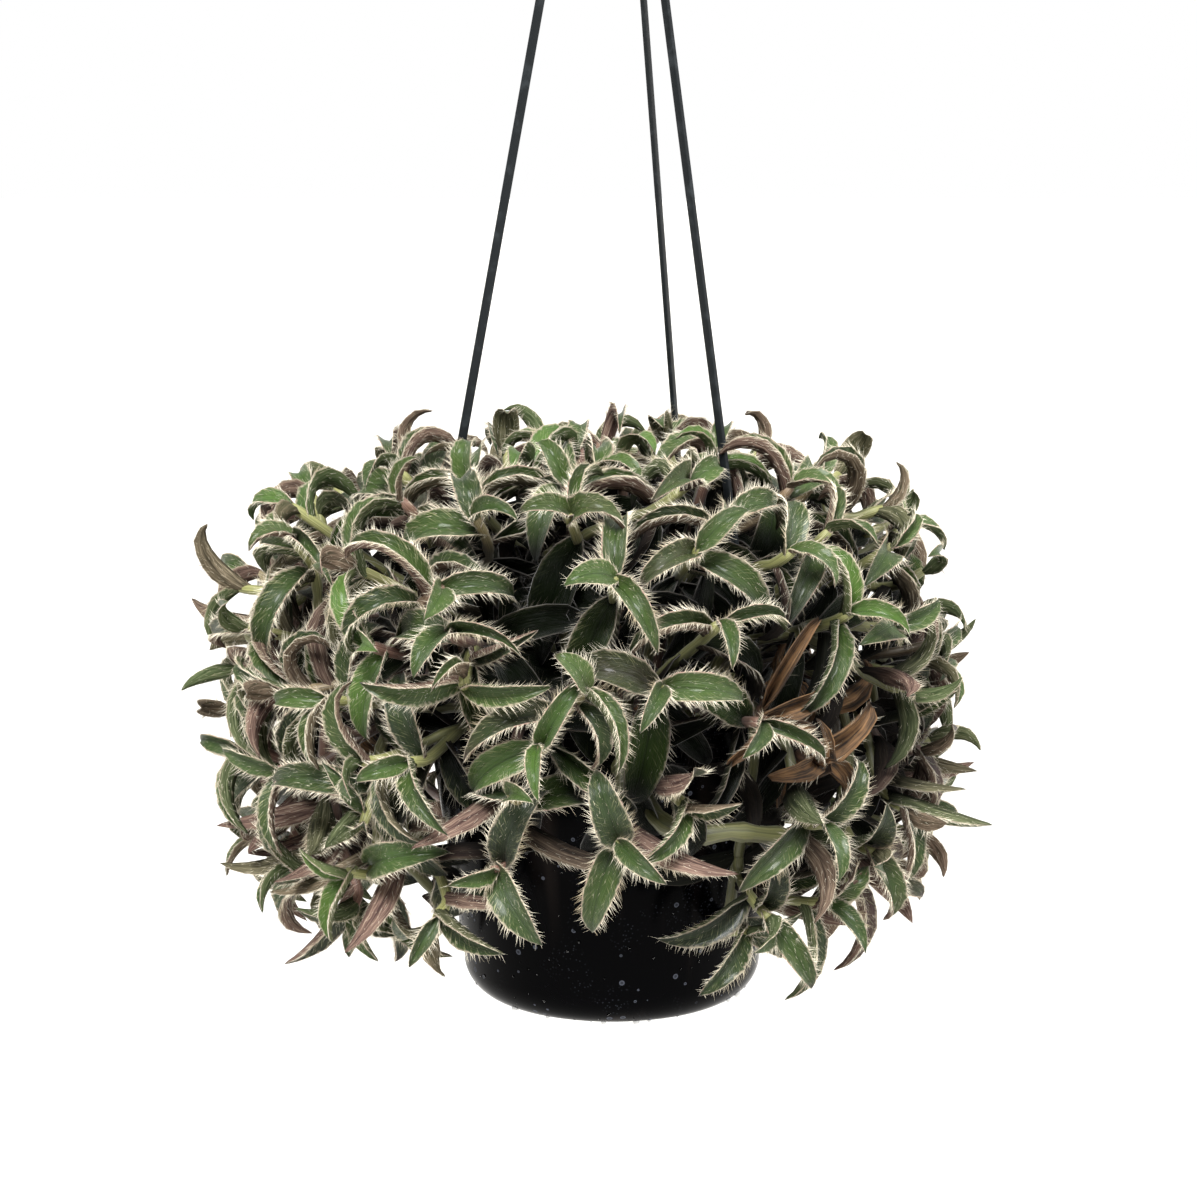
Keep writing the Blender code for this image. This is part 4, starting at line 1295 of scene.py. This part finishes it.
def stood_on(add, given, points, heading, stray, piece, sizes):
    """Stands a piece on each point, along its heading with a random stray, and makes it all a real mesh."""
    shake = add(RANDOM, {"Min": (-1, -1, -1), "Max": (1, 1, 1), "Seed": given["Seed"]},
                {"data_type": "FLOAT_VECTOR"})
    off = add(VECTORS, {0: shake, "Scale": stray}, SCALED)
    way = add(VECTORS, (heading, off), PLUS)
    turn = add("FunctionNodeAlignRotationToVector", {"Vector": way}, {"axis": "Z"})
    placed = add("GeometryNodeInstanceOnPoints", {
        "Points": points, "Instance": piece, "Rotation": turn, "Scale": add(JOIN, sizes)})
    real = add("GeometryNodeRealizeInstances", (placed,))
    done = add("GeometryNodeSetMaterial", {"Geometry": real, "Material": given["Finish"]})
    add("NodeGroupOutput", {"Geometry": done})


def hair_tree():
    """Scatters needles on the faces: dense on the fringe, sparse elsewhere, each along its stored way."""
    tree, add, given = node_group("plant hairs", (
        ("Fringe density", "Float", 1500000.0), ("Down density", "Float", 70000.0),
        ("Length", "Float", 0.0026), ("Thickness", "Float", 0.00007), ("Stray", "Float", 0.45),
        ("Seed", "Int", 7)))
    fringe = add(NAMED, {"Name": "fringe"}, {"data_type": "BOOLEAN"}, "Attribute")
    share, size = (add(NAMED, {"Name": key}, {"data_type": "FLOAT"}, "Attribute")
                   for key in ("hair_share", "hair_size"))
    way = add(NAMED, {"Name": "hair_way"}, {"data_type": "FLOAT_VECTOR"}, "Attribute")
    rest = add("FunctionNodeBooleanMath", (fringe,), {"operation": "NOT"})
    edges, down = (
        add("GeometryNodeDistributePointsOnFaces", {
            "Mesh": given["Geometry"], "Selection": faces, "Seed": given["Seed"],
            "Density": add(MATH, (given[density], share), TIMES)})
        for faces, density in ((fringe, "Fringe density"), (rest, "Down density")))
    both = add("GeometryNodeJoinGeometry", (edges,))
    tree.links.new(down, both.node.inputs[0])
    vary = add(RANDOM, {2: 0.35, 3: 1.2, "Seed": given["Seed"]}, {"data_type": "FLOAT"}, 1)
    length = add(MATH, (add(MATH, (given["Length"], size), TIMES), vary), TIMES)
    slim = add(MATH, (given["Thickness"], size), TIMES)
    needle = add("GeometryNodeMeshCone", {
        "Vertices": 3, "Radius Top": 0.0, "Radius Bottom": 1.0, "Depth": 1.0}, {"fill_type": "NGON"})
    stood_on(add, given, both, way, given["Stray"], needle, (slim, slim, length))
    return tree


def scatter_tree(name, facets):
    """Scatters rounded bits on the chosen faces, set flat on them, in random sizes."""
    tree, add, given = node_group(name, (
        ("Density", "Float", 10000.0), ("Spacing", "Float", 0.001), ("Radius", "Float", 0.0005),
        ("Smallest", "Float", 0.3), ("Flatness", "Float", 0.5), ("Tumble", "Float", 0.0), ("Seed", "Int", 3)))
    chosen = add(NAMED, {"Name": "chosen"}, {"data_type": "BOOLEAN"}, "Attribute")
    spots = add("GeometryNodeDistributePointsOnFaces", {
        "Mesh": given["Geometry"], "Selection": chosen, "Density Max": given["Density"],
        "Distance Min": given["Spacing"], "Seed": given["Seed"]}, {"distribute_method": "POISSON"})
    vary = add(RANDOM, {2: given["Smallest"], 3: 1.0, "Seed": given["Seed"]}, {"data_type": "FLOAT"}, 1)
    size = add(MATH, (given["Radius"], vary), TIMES)
    ball = add("GeometryNodeMeshIcoSphere", {"Radius": 1.0, "Subdivisions": facets})
    stood_on(add, given, spots, spots.node.outputs["Normal"], given["Tumble"], ball,
             (size, size, add(MATH, (size, given["Flatness"]), TIMES)))
    return tree


def choose(target, test):
    """Marks the faces that a scatter uses."""
    layer = target.data.attributes.new("chosen", "BOOLEAN", "FACE")
    layer.data.foreach_set("value", [bool(test(face)) for face in target.data.polygons])


def wall_radius(z):
    low_z = RIM_Z - POT_HEIGHT + BASE_CORNER_RADIUS
    low_radius = BASE_FLAT_RADIUS + BASE_CORNER_RADIUS
    return low_radius + (WALL_TOP_RADIUS - low_radius) * (z - low_z) / (RIM_Z - low_z)


class CYANOTIS_OT_pot(bpy.types.Operator):
    """Make the fine round pot, with its slots and drain holes, and the water drops on it"""
    bl_idname = "cyanotis.pot"
    bl_label = "Pot"

    def execute(self, context):
        settings = context.scene.cyanotis_pot
        base_z = RIM_Z - POT_HEIGHT
        corner_z = base_z + BASE_CORNER_RADIUS
        flange_z = RIM_Z - RIM_FLANGE_THICKNESS
        band_inner = RIM_RADIUS - RIM_BAND_THICKNESS
        band_low = RIM_Z - RIM_BAND_HEIGHT
        lip = LIP_ROUNDING
        profile = [(0, base_z)]
        profile += arc((BASE_FLAT_RADIUS, corner_z), BASE_CORNER_RADIUS, -90, 0, 12)
        wall = [corner_z + (flange_z - corner_z) * i / 8 for i in range(1, 9)]
        profile += [(wall_radius(z), z) for z in wall]
        profile += [(band_inner, flange_z), (band_inner, band_low + lip), (band_inner + lip, band_low)]
        profile += arc((RIM_RADIUS - lip, band_low + lip), lip, -90, 0, 3)
        profile += arc((RIM_RADIUS - lip, RIM_Z - lip), lip, 0, 90, 3)
        inner = WALL_TOP_RADIUS - WALL_THICKNESS
        profile += arc((inner + lip, RIM_Z - lip), lip, 90, 180, 3)
        profile += [(wall_radius(corner_z) - WALL_THICKNESS, corner_z)]
        profile += arc((BASE_FLAT_RADIUS, corner_z), BASE_CORNER_RADIUS - WALL_THICKNESS, 0, -90, 6)[1:]
        profile += [(0, base_z + WALL_THICKNESS)]
        pot = mesh_object("pot_shell", *turned(profile, 96), [pot_material(settings)])
        cutters = []
        for azimuth in ARM_AZIMUTHS:
            out = around(azimuth, 1)
            across = UP.cross(out)
            half_out = TONGUE_RADIAL / 2 + SLOT_SLACK
            half_across = ARM_TANGENTIAL / 2 + SLOT_SLACK
            sections = []
            for z in (flange_z - CUT_PAST, RIM_Z + CUT_PAST):
                centre = around(azimuth, ARM_FOOT_RADIUS, z)
                sections.append([centre + out * half_out * a + across * half_across * b
                                 for a, b in ((1, -1), (1, 1), (-1, 1), (-1, -1))])
            cutters.append(mesh_object("slot", *swept(sections)))
        for hole in range(DRAIN_HOLES):
            centre = around(360 * (hole + 0.5) / DRAIN_HOLES, DRAIN_CIRCLE_RADIUS)
            low, high = base_z - CUT_PAST, base_z + WALL_THICKNESS + CUT_PAST
            outline = ((0, low), (DRAIN_HOLE_RADIUS, low), (DRAIN_HOLE_RADIUS, high), (0, high))
            verts, faces = turned(outline, 24)
            cutters.append(mesh_object("drain", [v + centre for v in verts], faces))
        combine(pot, cutters, "DIFFERENCE")
        shade_round(pot, 35)
        drops = mesh_object("water_drops", *rows_of(pot.data))
        choose(drops, lambda face: self.takes_drops(face, band_low))
        run_tree(drops, scatter_tree("water drops", 2), {
            "Density": settings.drop_density, "Spacing": DROP_SPACING, "Radius": settings.drop_radius,
            "Smallest": SMALLEST_DROP, "Flatness": DROP_FLATNESS, "Seed": 5, "Finish": water_material()})
        self.hang_drops(drops)
        drops.data.shade_smooth()
        settle(pot, "pot", "pot")
        settle(drops, "pot")
        return {"FINISHED"}

    def hang_drops(self, drops):
        """Adds the drops that gather where the wall turns under."""
        mesh = bmesh.new()
        mesh.from_mesh(drops.data)
        for azimuth, under, radius in HANGING_DROPS:
            turn = radians(-under)
            centre = around(azimuth, BASE_FLAT_RADIUS + BASE_CORNER_RADIUS * cos(turn),
                            RIM_Z - POT_HEIGHT + BASE_CORNER_RADIUS * (1 + sin(turn)) - radius * 0.1)
            place = Matrix.Translation(centre) @ Matrix.Diagonal((1, 1, DROP_SAG, 1))
            bmesh.ops.create_icosphere(mesh, subdivisions=2, radius=radius, matrix=place)
        mesh.to_mesh(drops.data)
        mesh.free()

    def takes_drops(self, face, band_low):
        """True on the outside of the wall and on the rounded corner below it."""
        out = Vector((face.center.x, face.center.y, 0)).normalized()
        return face.normal.dot(out) > DROP_FACING and face.center.z < band_low - DROPS_BELOW_BAND


def rounded_section(centre, along, across, half_along, half_across, radius):
    """A rectangle with rounded corners, in the plane of the directions along and across."""
    ring = []
    for sign_a, sign_b, start in ((1, 1, 0), (-1, 1, 90), (-1, -1, 180), (1, -1, 270)):
        for step in range(4):
            turn = radians(start + 30 * step)
            a = sign_a * (half_along - radius) + radius * cos(turn)
            b = sign_b * (half_across - radius) + radius * sin(turn)
            ring.append(centre + along * a + across * b)
    return ring


class CYANOTIS_OT_hanger(bpy.types.Operator):
    """Make the fine hanger: three straight arms, the hub and the hook"""
    bl_idname = "cyanotis.hanger"
    bl_label = "Hanger"

    def arm(self, azimuth):
        out = around(azimuth, 1)
        across = UP.cross(out)
        barb_top = RIM_Z - RIM_FLANGE_THICKNESS - FIT_GAP
        foot = around(azimuth, ARM_FOOT_RADIUS, RIM_Z + FIT_GAP + ARM_STANDOFF)
        head = around(azimuth, ARM_HEAD_RADIUS, HUB_Z + HEAD_IN_HUB)
        straight = (head - foot).normalized()
        lean = across.cross(straight)
        half_across = ARM_TANGENTIAL / 2
        half_tongue = TONGUE_RADIAL / 2
        rows = [(around(azimuth, ARM_FOOT_RADIUS, z), out, half_out, half) for z, half_out, half in (
            (barb_top - BARB_HEIGHT, half_tongue * BARB_POINT[0], half_across * BARB_POINT[1]),
            (barb_top, half_tongue, BARB_TANGENTIAL / 2),
            (barb_top + BARB_EDGE, half_tongue, half_across),
            (RIM_Z + FIT_GAP, half_tongue, half_across),
        )]
        stations = [foot + straight * ARM_SHOULDER]
        stations += [foot.lerp(head, (i + 1) / ARM_STEPS) for i in range(ARM_STEPS)]
        rows += [(station, lean, ARM_RADIAL / 2, half_across) for station in stations]
        return swept([rounded_section(c, f, across, a, b, ARM_ROUNDING) for c, f, a, b in rows])

    def hook(self):
        centre = (0.0, -HOOK_INNER_RADIUS)
        middle = HOOK_INNER_RADIUS + HOOK_THICKNESS / 2
        bow = arc(centre, middle, HOOK_START_ANGLE, HOOK_END_ANGLE, BOW_STEPS)
        turn = radians(HOOK_START_ANGLE)
        start = Vector((bow[0][0], 0, bow[0][1]))
        heading = Vector((-sin(turn), 0, cos(turn)))
        root = Vector((0, 0, HUB_Z + HEAD_IN_HUB))
        pulls = (root + UP * NECK_RISE, start - heading * NECK_LEAD)
        path = [bezier(root, *pulls, start, i / NECK_STEPS) for i in range(NECK_STEPS)]
        path += [Vector((x, 0, z)) for x, z in bow]
        across = Vector((0, 1, 0))
        half = HOOK_THICKNESS / 2
        sections = []
        for i, point in enumerate(path):
            ahead = path[min(i + 1, len(path) - 1)] - path[max(i - 1, 0)]
            outward = across.cross(ahead.normalized())
            end = max(0, i + 1 + HOOK_END_STEPS - len(path)) / HOOK_END_STEPS
            size = half * sqrt(max(0.05, 1 - end ** 2))
            sections.append(rounded_section(point, outward, across, size, size, size * 0.6))
        return swept(sections)

    def execute(self, context):
        top = HUB_Z + HUB_HEIGHT
        inner = HUB_RADIUS - HUB_CHAMFER
        profile = [(0, HUB_Z), (inner, HUB_Z)]
        profile += arc((inner, HUB_Z + HUB_CHAMFER), HUB_CHAMFER, -90, 0, 4)[1:]
        profile += [(HUB_RADIUS * share, HUB_Z + rise) for share, rise in HUB_SHOULDER]
        profile += [(HUB_RADIUS * share, top - depth) for share, depth in HUB_CROWN]
        profile += [(0, top)]
        hanger = mesh_object("hanger_arms_and_hook", *turned(profile, 48),
                             [hanger_material(context.scene.cyanotis_pot)])
        pieces = [mesh_object("hook", *self.hook())]
        pieces += [mesh_object("arm", *self.arm(azimuth)) for azimuth in ARM_AZIMUTHS]
        combine(hanger, pieces, "UNION")
        shade_round(hanger, 38)
        settle(hanger, "hanger", "hanger")
        return {"FINISHED"}


class CYANOTIS_OT_soil(bpy.types.Operator):
    """Make the lumpy soil and the crumbs on it"""
    bl_idname = "cyanotis.soil"
    bl_label = "Soil"

    def execute(self, context):
        settings = context.scene.cyanotis_pot
        floor_z = RIM_Z - POT_HEIGHT + WALL_THICKNESS + FIT_GAP
        corner_z = RIM_Z - POT_HEIGHT + BASE_CORNER_RADIUS
        inset = WALL_THICKNESS + FIT_GAP
        edge_z = RIM_Z - SOIL_EDGE_DEPTH
        edge = wall_radius(edge_z) - inset - FIT_GAP
        profile = [(0, floor_z), (BASE_FLAT_RADIUS - 0.001, floor_z)]
        profile += arc((BASE_FLAT_RADIUS, corner_z), BASE_CORNER_RADIUS - inset - 2 * FIT_GAP, -80, 0, 5)
        profile += [(edge, edge_z)]
        reaches = [edge * (1 - i / SOIL_RINGS) for i in range(1, SOIL_RINGS)] + [0]
        profile += [(reach, soil_height(reach)) for reach in reaches]
        soil = mesh_object("potting_soil", *turned(profile, 72), [soil_material()])
        for vertex in soil.data.vertices:
            reach = hypot(vertex.co.x, vertex.co.y)
            if vertex.co.z > edge_z - 0.0001 and reach < edge - 0.001:
                fade = min(1.0, (edge - reach) / LUMP_FADE)
                vertex.co.z += fade * LUMP_HEIGHT * noise.fractal(vertex.co * LUMP_SCALE, 0.9, 2.0, 4)
        soil.data.shade_smooth()
        crumbs = mesh_object("soil_crumbs", *rows_of(soil.data))
        choose(crumbs, lambda face: face.normal.z > CRUMB_FACING and face.center.z > edge_z)
        run_tree(crumbs, scatter_tree("soil crumbs", 1), {
            "Density": settings.crumb_density, "Spacing": CRUMB_SPACING, "Radius": CRUMB_RADIUS,
            "Smallest": SMALLEST_CRUMB, "Flatness": CRUMB_FLATNESS, "Tumble": CRUMB_TUMBLE, "Seed": 11,
            "Finish": crumb_material()})
        settle(soil, "soil", "soil")
        settle(crumbs, "soil")
        return {"FINISHED"}


# What the stems' operator has grown, as (growth, azimuth), for the hairs' operator
growths = []


class CYANOTIS_OT_stems(bpy.types.Operator):
    """Grow every stem with its side shoots and fine leaves, one piece for each packed stem"""
    bl_idname = "cyanotis.stems"
    bl_label = "Leafy stems"

    def execute(self, context):
        settings = context.scene.cyanotis_plant
        green = [
            leaf_upper_material(settings, "waxy green leaf face", 0.45, 0.13), leaf_under_material(settings),
            leaf_edge_material(settings), stem_material(),
            # A copy of the leaf face with little shine and no coat, as painted shade deep in the plant
            leaf_upper_material(settings, "shaded green inner leaf face", 0.06, 0.0),
        ]
        dead_leaf = dry_material("papery dead leaf", "84623F", "241B14")
        dead_stem = dry_material("woody dead stem", "5F432E", "2A1B13")
        dead = [dead_leaf, dead_leaf, dead_leaf, dead_stem, dead_leaf]
        shoots = shoot_list()
        room = Room()
        for name in ("pot", "hanger"):
            room.add_solid(name)
        paths = grow_stems(room, shoots, stem_bases(shoots))
        room.add_solid("soil")
        leaves = grow_leaves(room, paths, LEAF_PLACES)
        living = len(shoots) - len(DRY_SHOOTS)
        sides = grow_side_shoots(room, paths, living)
        side_leaves = grow_leaves(room, [side[-1] for side in sides], SIDE_PLACES, len(paths))
        side_leaves[-1] = [leaf for leaf in side_leaves[-1] if leaf["index"] < THICK_SHOOT_LEAVES]
        for number, (name, azimuth, elevation, _) in enumerate(shoots):
            rng = random.Random(FINE_SEED + number)
            growth = Growth()
            dry = name.startswith("dry")
            places = [LEAF_PLACES[leaf["index"]] for leaf in leaves[number]]
            pink = 0.0 if number in PALE_STEMS else rng.random()
            add_stem(growth, paths[number], STEM_RADIUS, STEM_TIP_RADIUS, places, (0.3, 0.5, pink))
            self.dress(growth, leaves[number], number, elevation, settings, rng, dry)
            for k, (host, side_elevation, path) in enumerate(sides):
                if host != number:
                    continue
                places = [SIDE_PLACES[leaf["index"]] for leaf in side_leaves[k]]
                blush = pink * rng.random()
                if k == len(sides) - 1:
                    add_stem(growth, path, THICK_SHOOT_RADIUS, THICK_SHOOT_RADIUS * 0.8, THICK_SHOOT_JOINTS,
                             (0.4, 0.5, 0.12), 12)
                else:
                    add_stem(growth, path, STEM_TIP_RADIUS * 1.15, STEM_TIP_RADIUS, places, (0.4, 0.5, blush))
                self.dress(growth, side_leaves[k], len(shoots) + k, side_elevation, settings, rng, dry)
            piece = growth.build(name + "_growth", dead if dry else green)
            settle(piece, "dry_leaf" if dry else "leaf", name)
            growths.append((growth, azimuth))
        return {"FINISHED"}

    def dress(self, growth, leaves, number, elevation, settings, rng, dry):
        """Adds a shoot's leaves, the older ones more curled at their tips."""
        for leaf in leaves:
            leaf["phase"] = rng.uniform(0, 6.28)
            index = leaf["index"]
            low = elevation < 2
            amount = rng.uniform(0.1, 0.7 if low else 1.1) if index > 1 else rng.uniform(0.0, 0.5)
            leaf["cup"] = rng.uniform(1.0, 1.7 if low else 2.4) if index > 0 else rng.uniform(0.9, 1.6)
            if dry:
                amount = rng.uniform(0.7, 1.5)
                leaf["cup"] = rng.uniform(1.3, 2.2)
            look = leaf_look(number, index, elevation, rng)
            add_leaf(growth, curled(leaf, amount), settings, look, dry)


class CYANOTIS_OT_hairs(bpy.types.Operator):
    """Cover the leaves' edges and faces with pale hairs, in one piece for each side of the plant"""
    bl_idname = "cyanotis.hairs"
    bl_label = "Hairs"

    def execute(self, context):
        if not growths:
            raise RuntimeError("The stems are grown before their hairs")
        settings = context.scene.cyanotis_plant
        finish = hair_material(settings)
        tree = hair_tree()
        for sector in range(HAIR_PIECES):
            growth = Growth()
            for own, azimuth in growths:
                if int((azimuth % 360) * HAIR_PIECES / 360) == sector:
                    growth.add(own)
            piece = growth.build(f"leaf_hairs_{sector + 1}", ())
            run_tree(piece, tree, {
                "Fringe density": settings.fringe_density, "Down density": settings.down_density,
                "Length": settings.fringe_length, "Thickness": settings.hair_thickness, "Stray": HAIR_STRAY,
                "Seed": HAIR_SEED + sector, "Finish": finish})
            settle(piece, "leaf")
        return {"FINISHED"}


class CYANOTIS_OT_stage(bpy.types.Operator):
    """Make the floor, the soft lights and the camera"""
    bl_idname = "cyanotis.stage"
    bl_label = "Stage"

    def execute(self, context):
        settings = context.scene.cyanotis_stage
        scene = context.scene
        low = RIM_Z - POT_HEIGHT - settings.floor_drop
        corners = [(x * FLOOR_HALF, y * FLOOR_HALF, low) for x, y in ((-1, -1), (1, -1), (1, 1), (-1, 1))]
        mesh_object("floor", corners, [(0, 1, 2, 3)], [floor_material()])
        scene.world = self.white_room(settings)
        for name, strength, spread, way in (
            ("key_light", settings.key_strength, KEY_SPREAD, KEY_WAY),
            ("fill_light", settings.fill_strength, FILL_SPREAD, FILL_WAY),
        ):
            lamp = bpy.data.lights.new(name, "SUN")
            lamp.energy = strength
            lamp.angle = radians(spread)
            light = bpy.data.objects.new(name, lamp)
            light.rotation_euler = Vector(way).to_track_quat("-Z", "Y").to_euler()
            scene.collection.objects.link(light)
        camera = bpy.data.objects.new("camera", bpy.data.cameras.new("camera"))
        scene.collection.objects.link(camera)
        camera.data.sensor_width = SENSOR
        camera.data.lens = FOCAL_PIXELS / PHOTO_PIXELS * SENSOR
        camera.location = CAMERA_AT
        camera.rotation_euler = (radians(90 - CAMERA_TILT), 0, 0)
        scene.camera = camera
        scene.view_settings.view_transform = "Standard"
        return {"FINISHED"}

    def white_room(self, settings):
        """A world that the camera sees as white, and that lights the plant more from its brighter side."""
        world = bpy.data.worlds.new("white room")
        world.use_nodes = True
        add = functools.partial(node, world.node_tree)
        way = add(PLACES, output="Generated")
        side = add(VECTORS, {0: way, 1: BRIGHT_SIDE}, {"operation": "DOT_PRODUCT"}, "Value")
        strength = add(RANGE, (side, -0.9, 0.5, settings.surroundings * DIM_SHARE, settings.surroundings))
        light = add("ShaderNodeBackground", {"Color": "FFFFFF", "Strength": strength})
        backdrop = world.node_tree.nodes["Background"]
        fill(backdrop, {"Color": "FFFFFF"})
        seen = add("ShaderNodeLightPath", output="Is Camera Ray")
        room = add("ShaderNodeMixShader", (seen, light, backdrop.outputs["Background"]))
        fill(world.node_tree.nodes["World Output"], {"Surface": room})
        return world


STEPS = ("pot", "hanger", "soil", "stems", "hairs", "stage")
GROUPS = {"cyanotis_plant": PlantSettings, "cyanotis_pot": PotSettings, "cyanotis_stage": StageSettings}


class CYANOTIS_PT_panel(bpy.types.Panel):
    """Lists the steps and their settings."""
    bl_idname = "CYANOTIS_PT_panel"
    bl_label = "Potted cyanotis"
    bl_space_type = "VIEW_3D"
    bl_region_type = "UI"
    bl_category = "Cyanotis"

    def draw(self, context):
        for step in STEPS:
            self.layout.operator("cyanotis." + step)
        for group, kind in GROUPS.items():
            box = self.layout.box()
            for key in kind.__annotations__:
                box.prop(getattr(context.scene, group), key)


CLASSES = (
    *GROUPS.values(), CYANOTIS_OT_pot, CYANOTIS_OT_hanger, CYANOTIS_OT_soil, CYANOTIS_OT_stems,
    CYANOTIS_OT_hairs, CYANOTIS_OT_stage, CYANOTIS_PT_panel,
)


def register():
    for made in CLASSES:
        bpy.utils.register_class(made)
    for name, group in GROUPS.items():
        setattr(bpy.types.Scene, name, bpy.props.PointerProperty(type=group))


def unregister():
    for name in GROUPS:
        delattr(bpy.types.Scene, name)
    for made in reversed(CLASSES):
        bpy.utils.unregister_class(made)


def main():
    register()
    for step in STEPS:
        getattr(bpy.ops.cyanotis, step)()


if __name__ == "__main__":
    main()
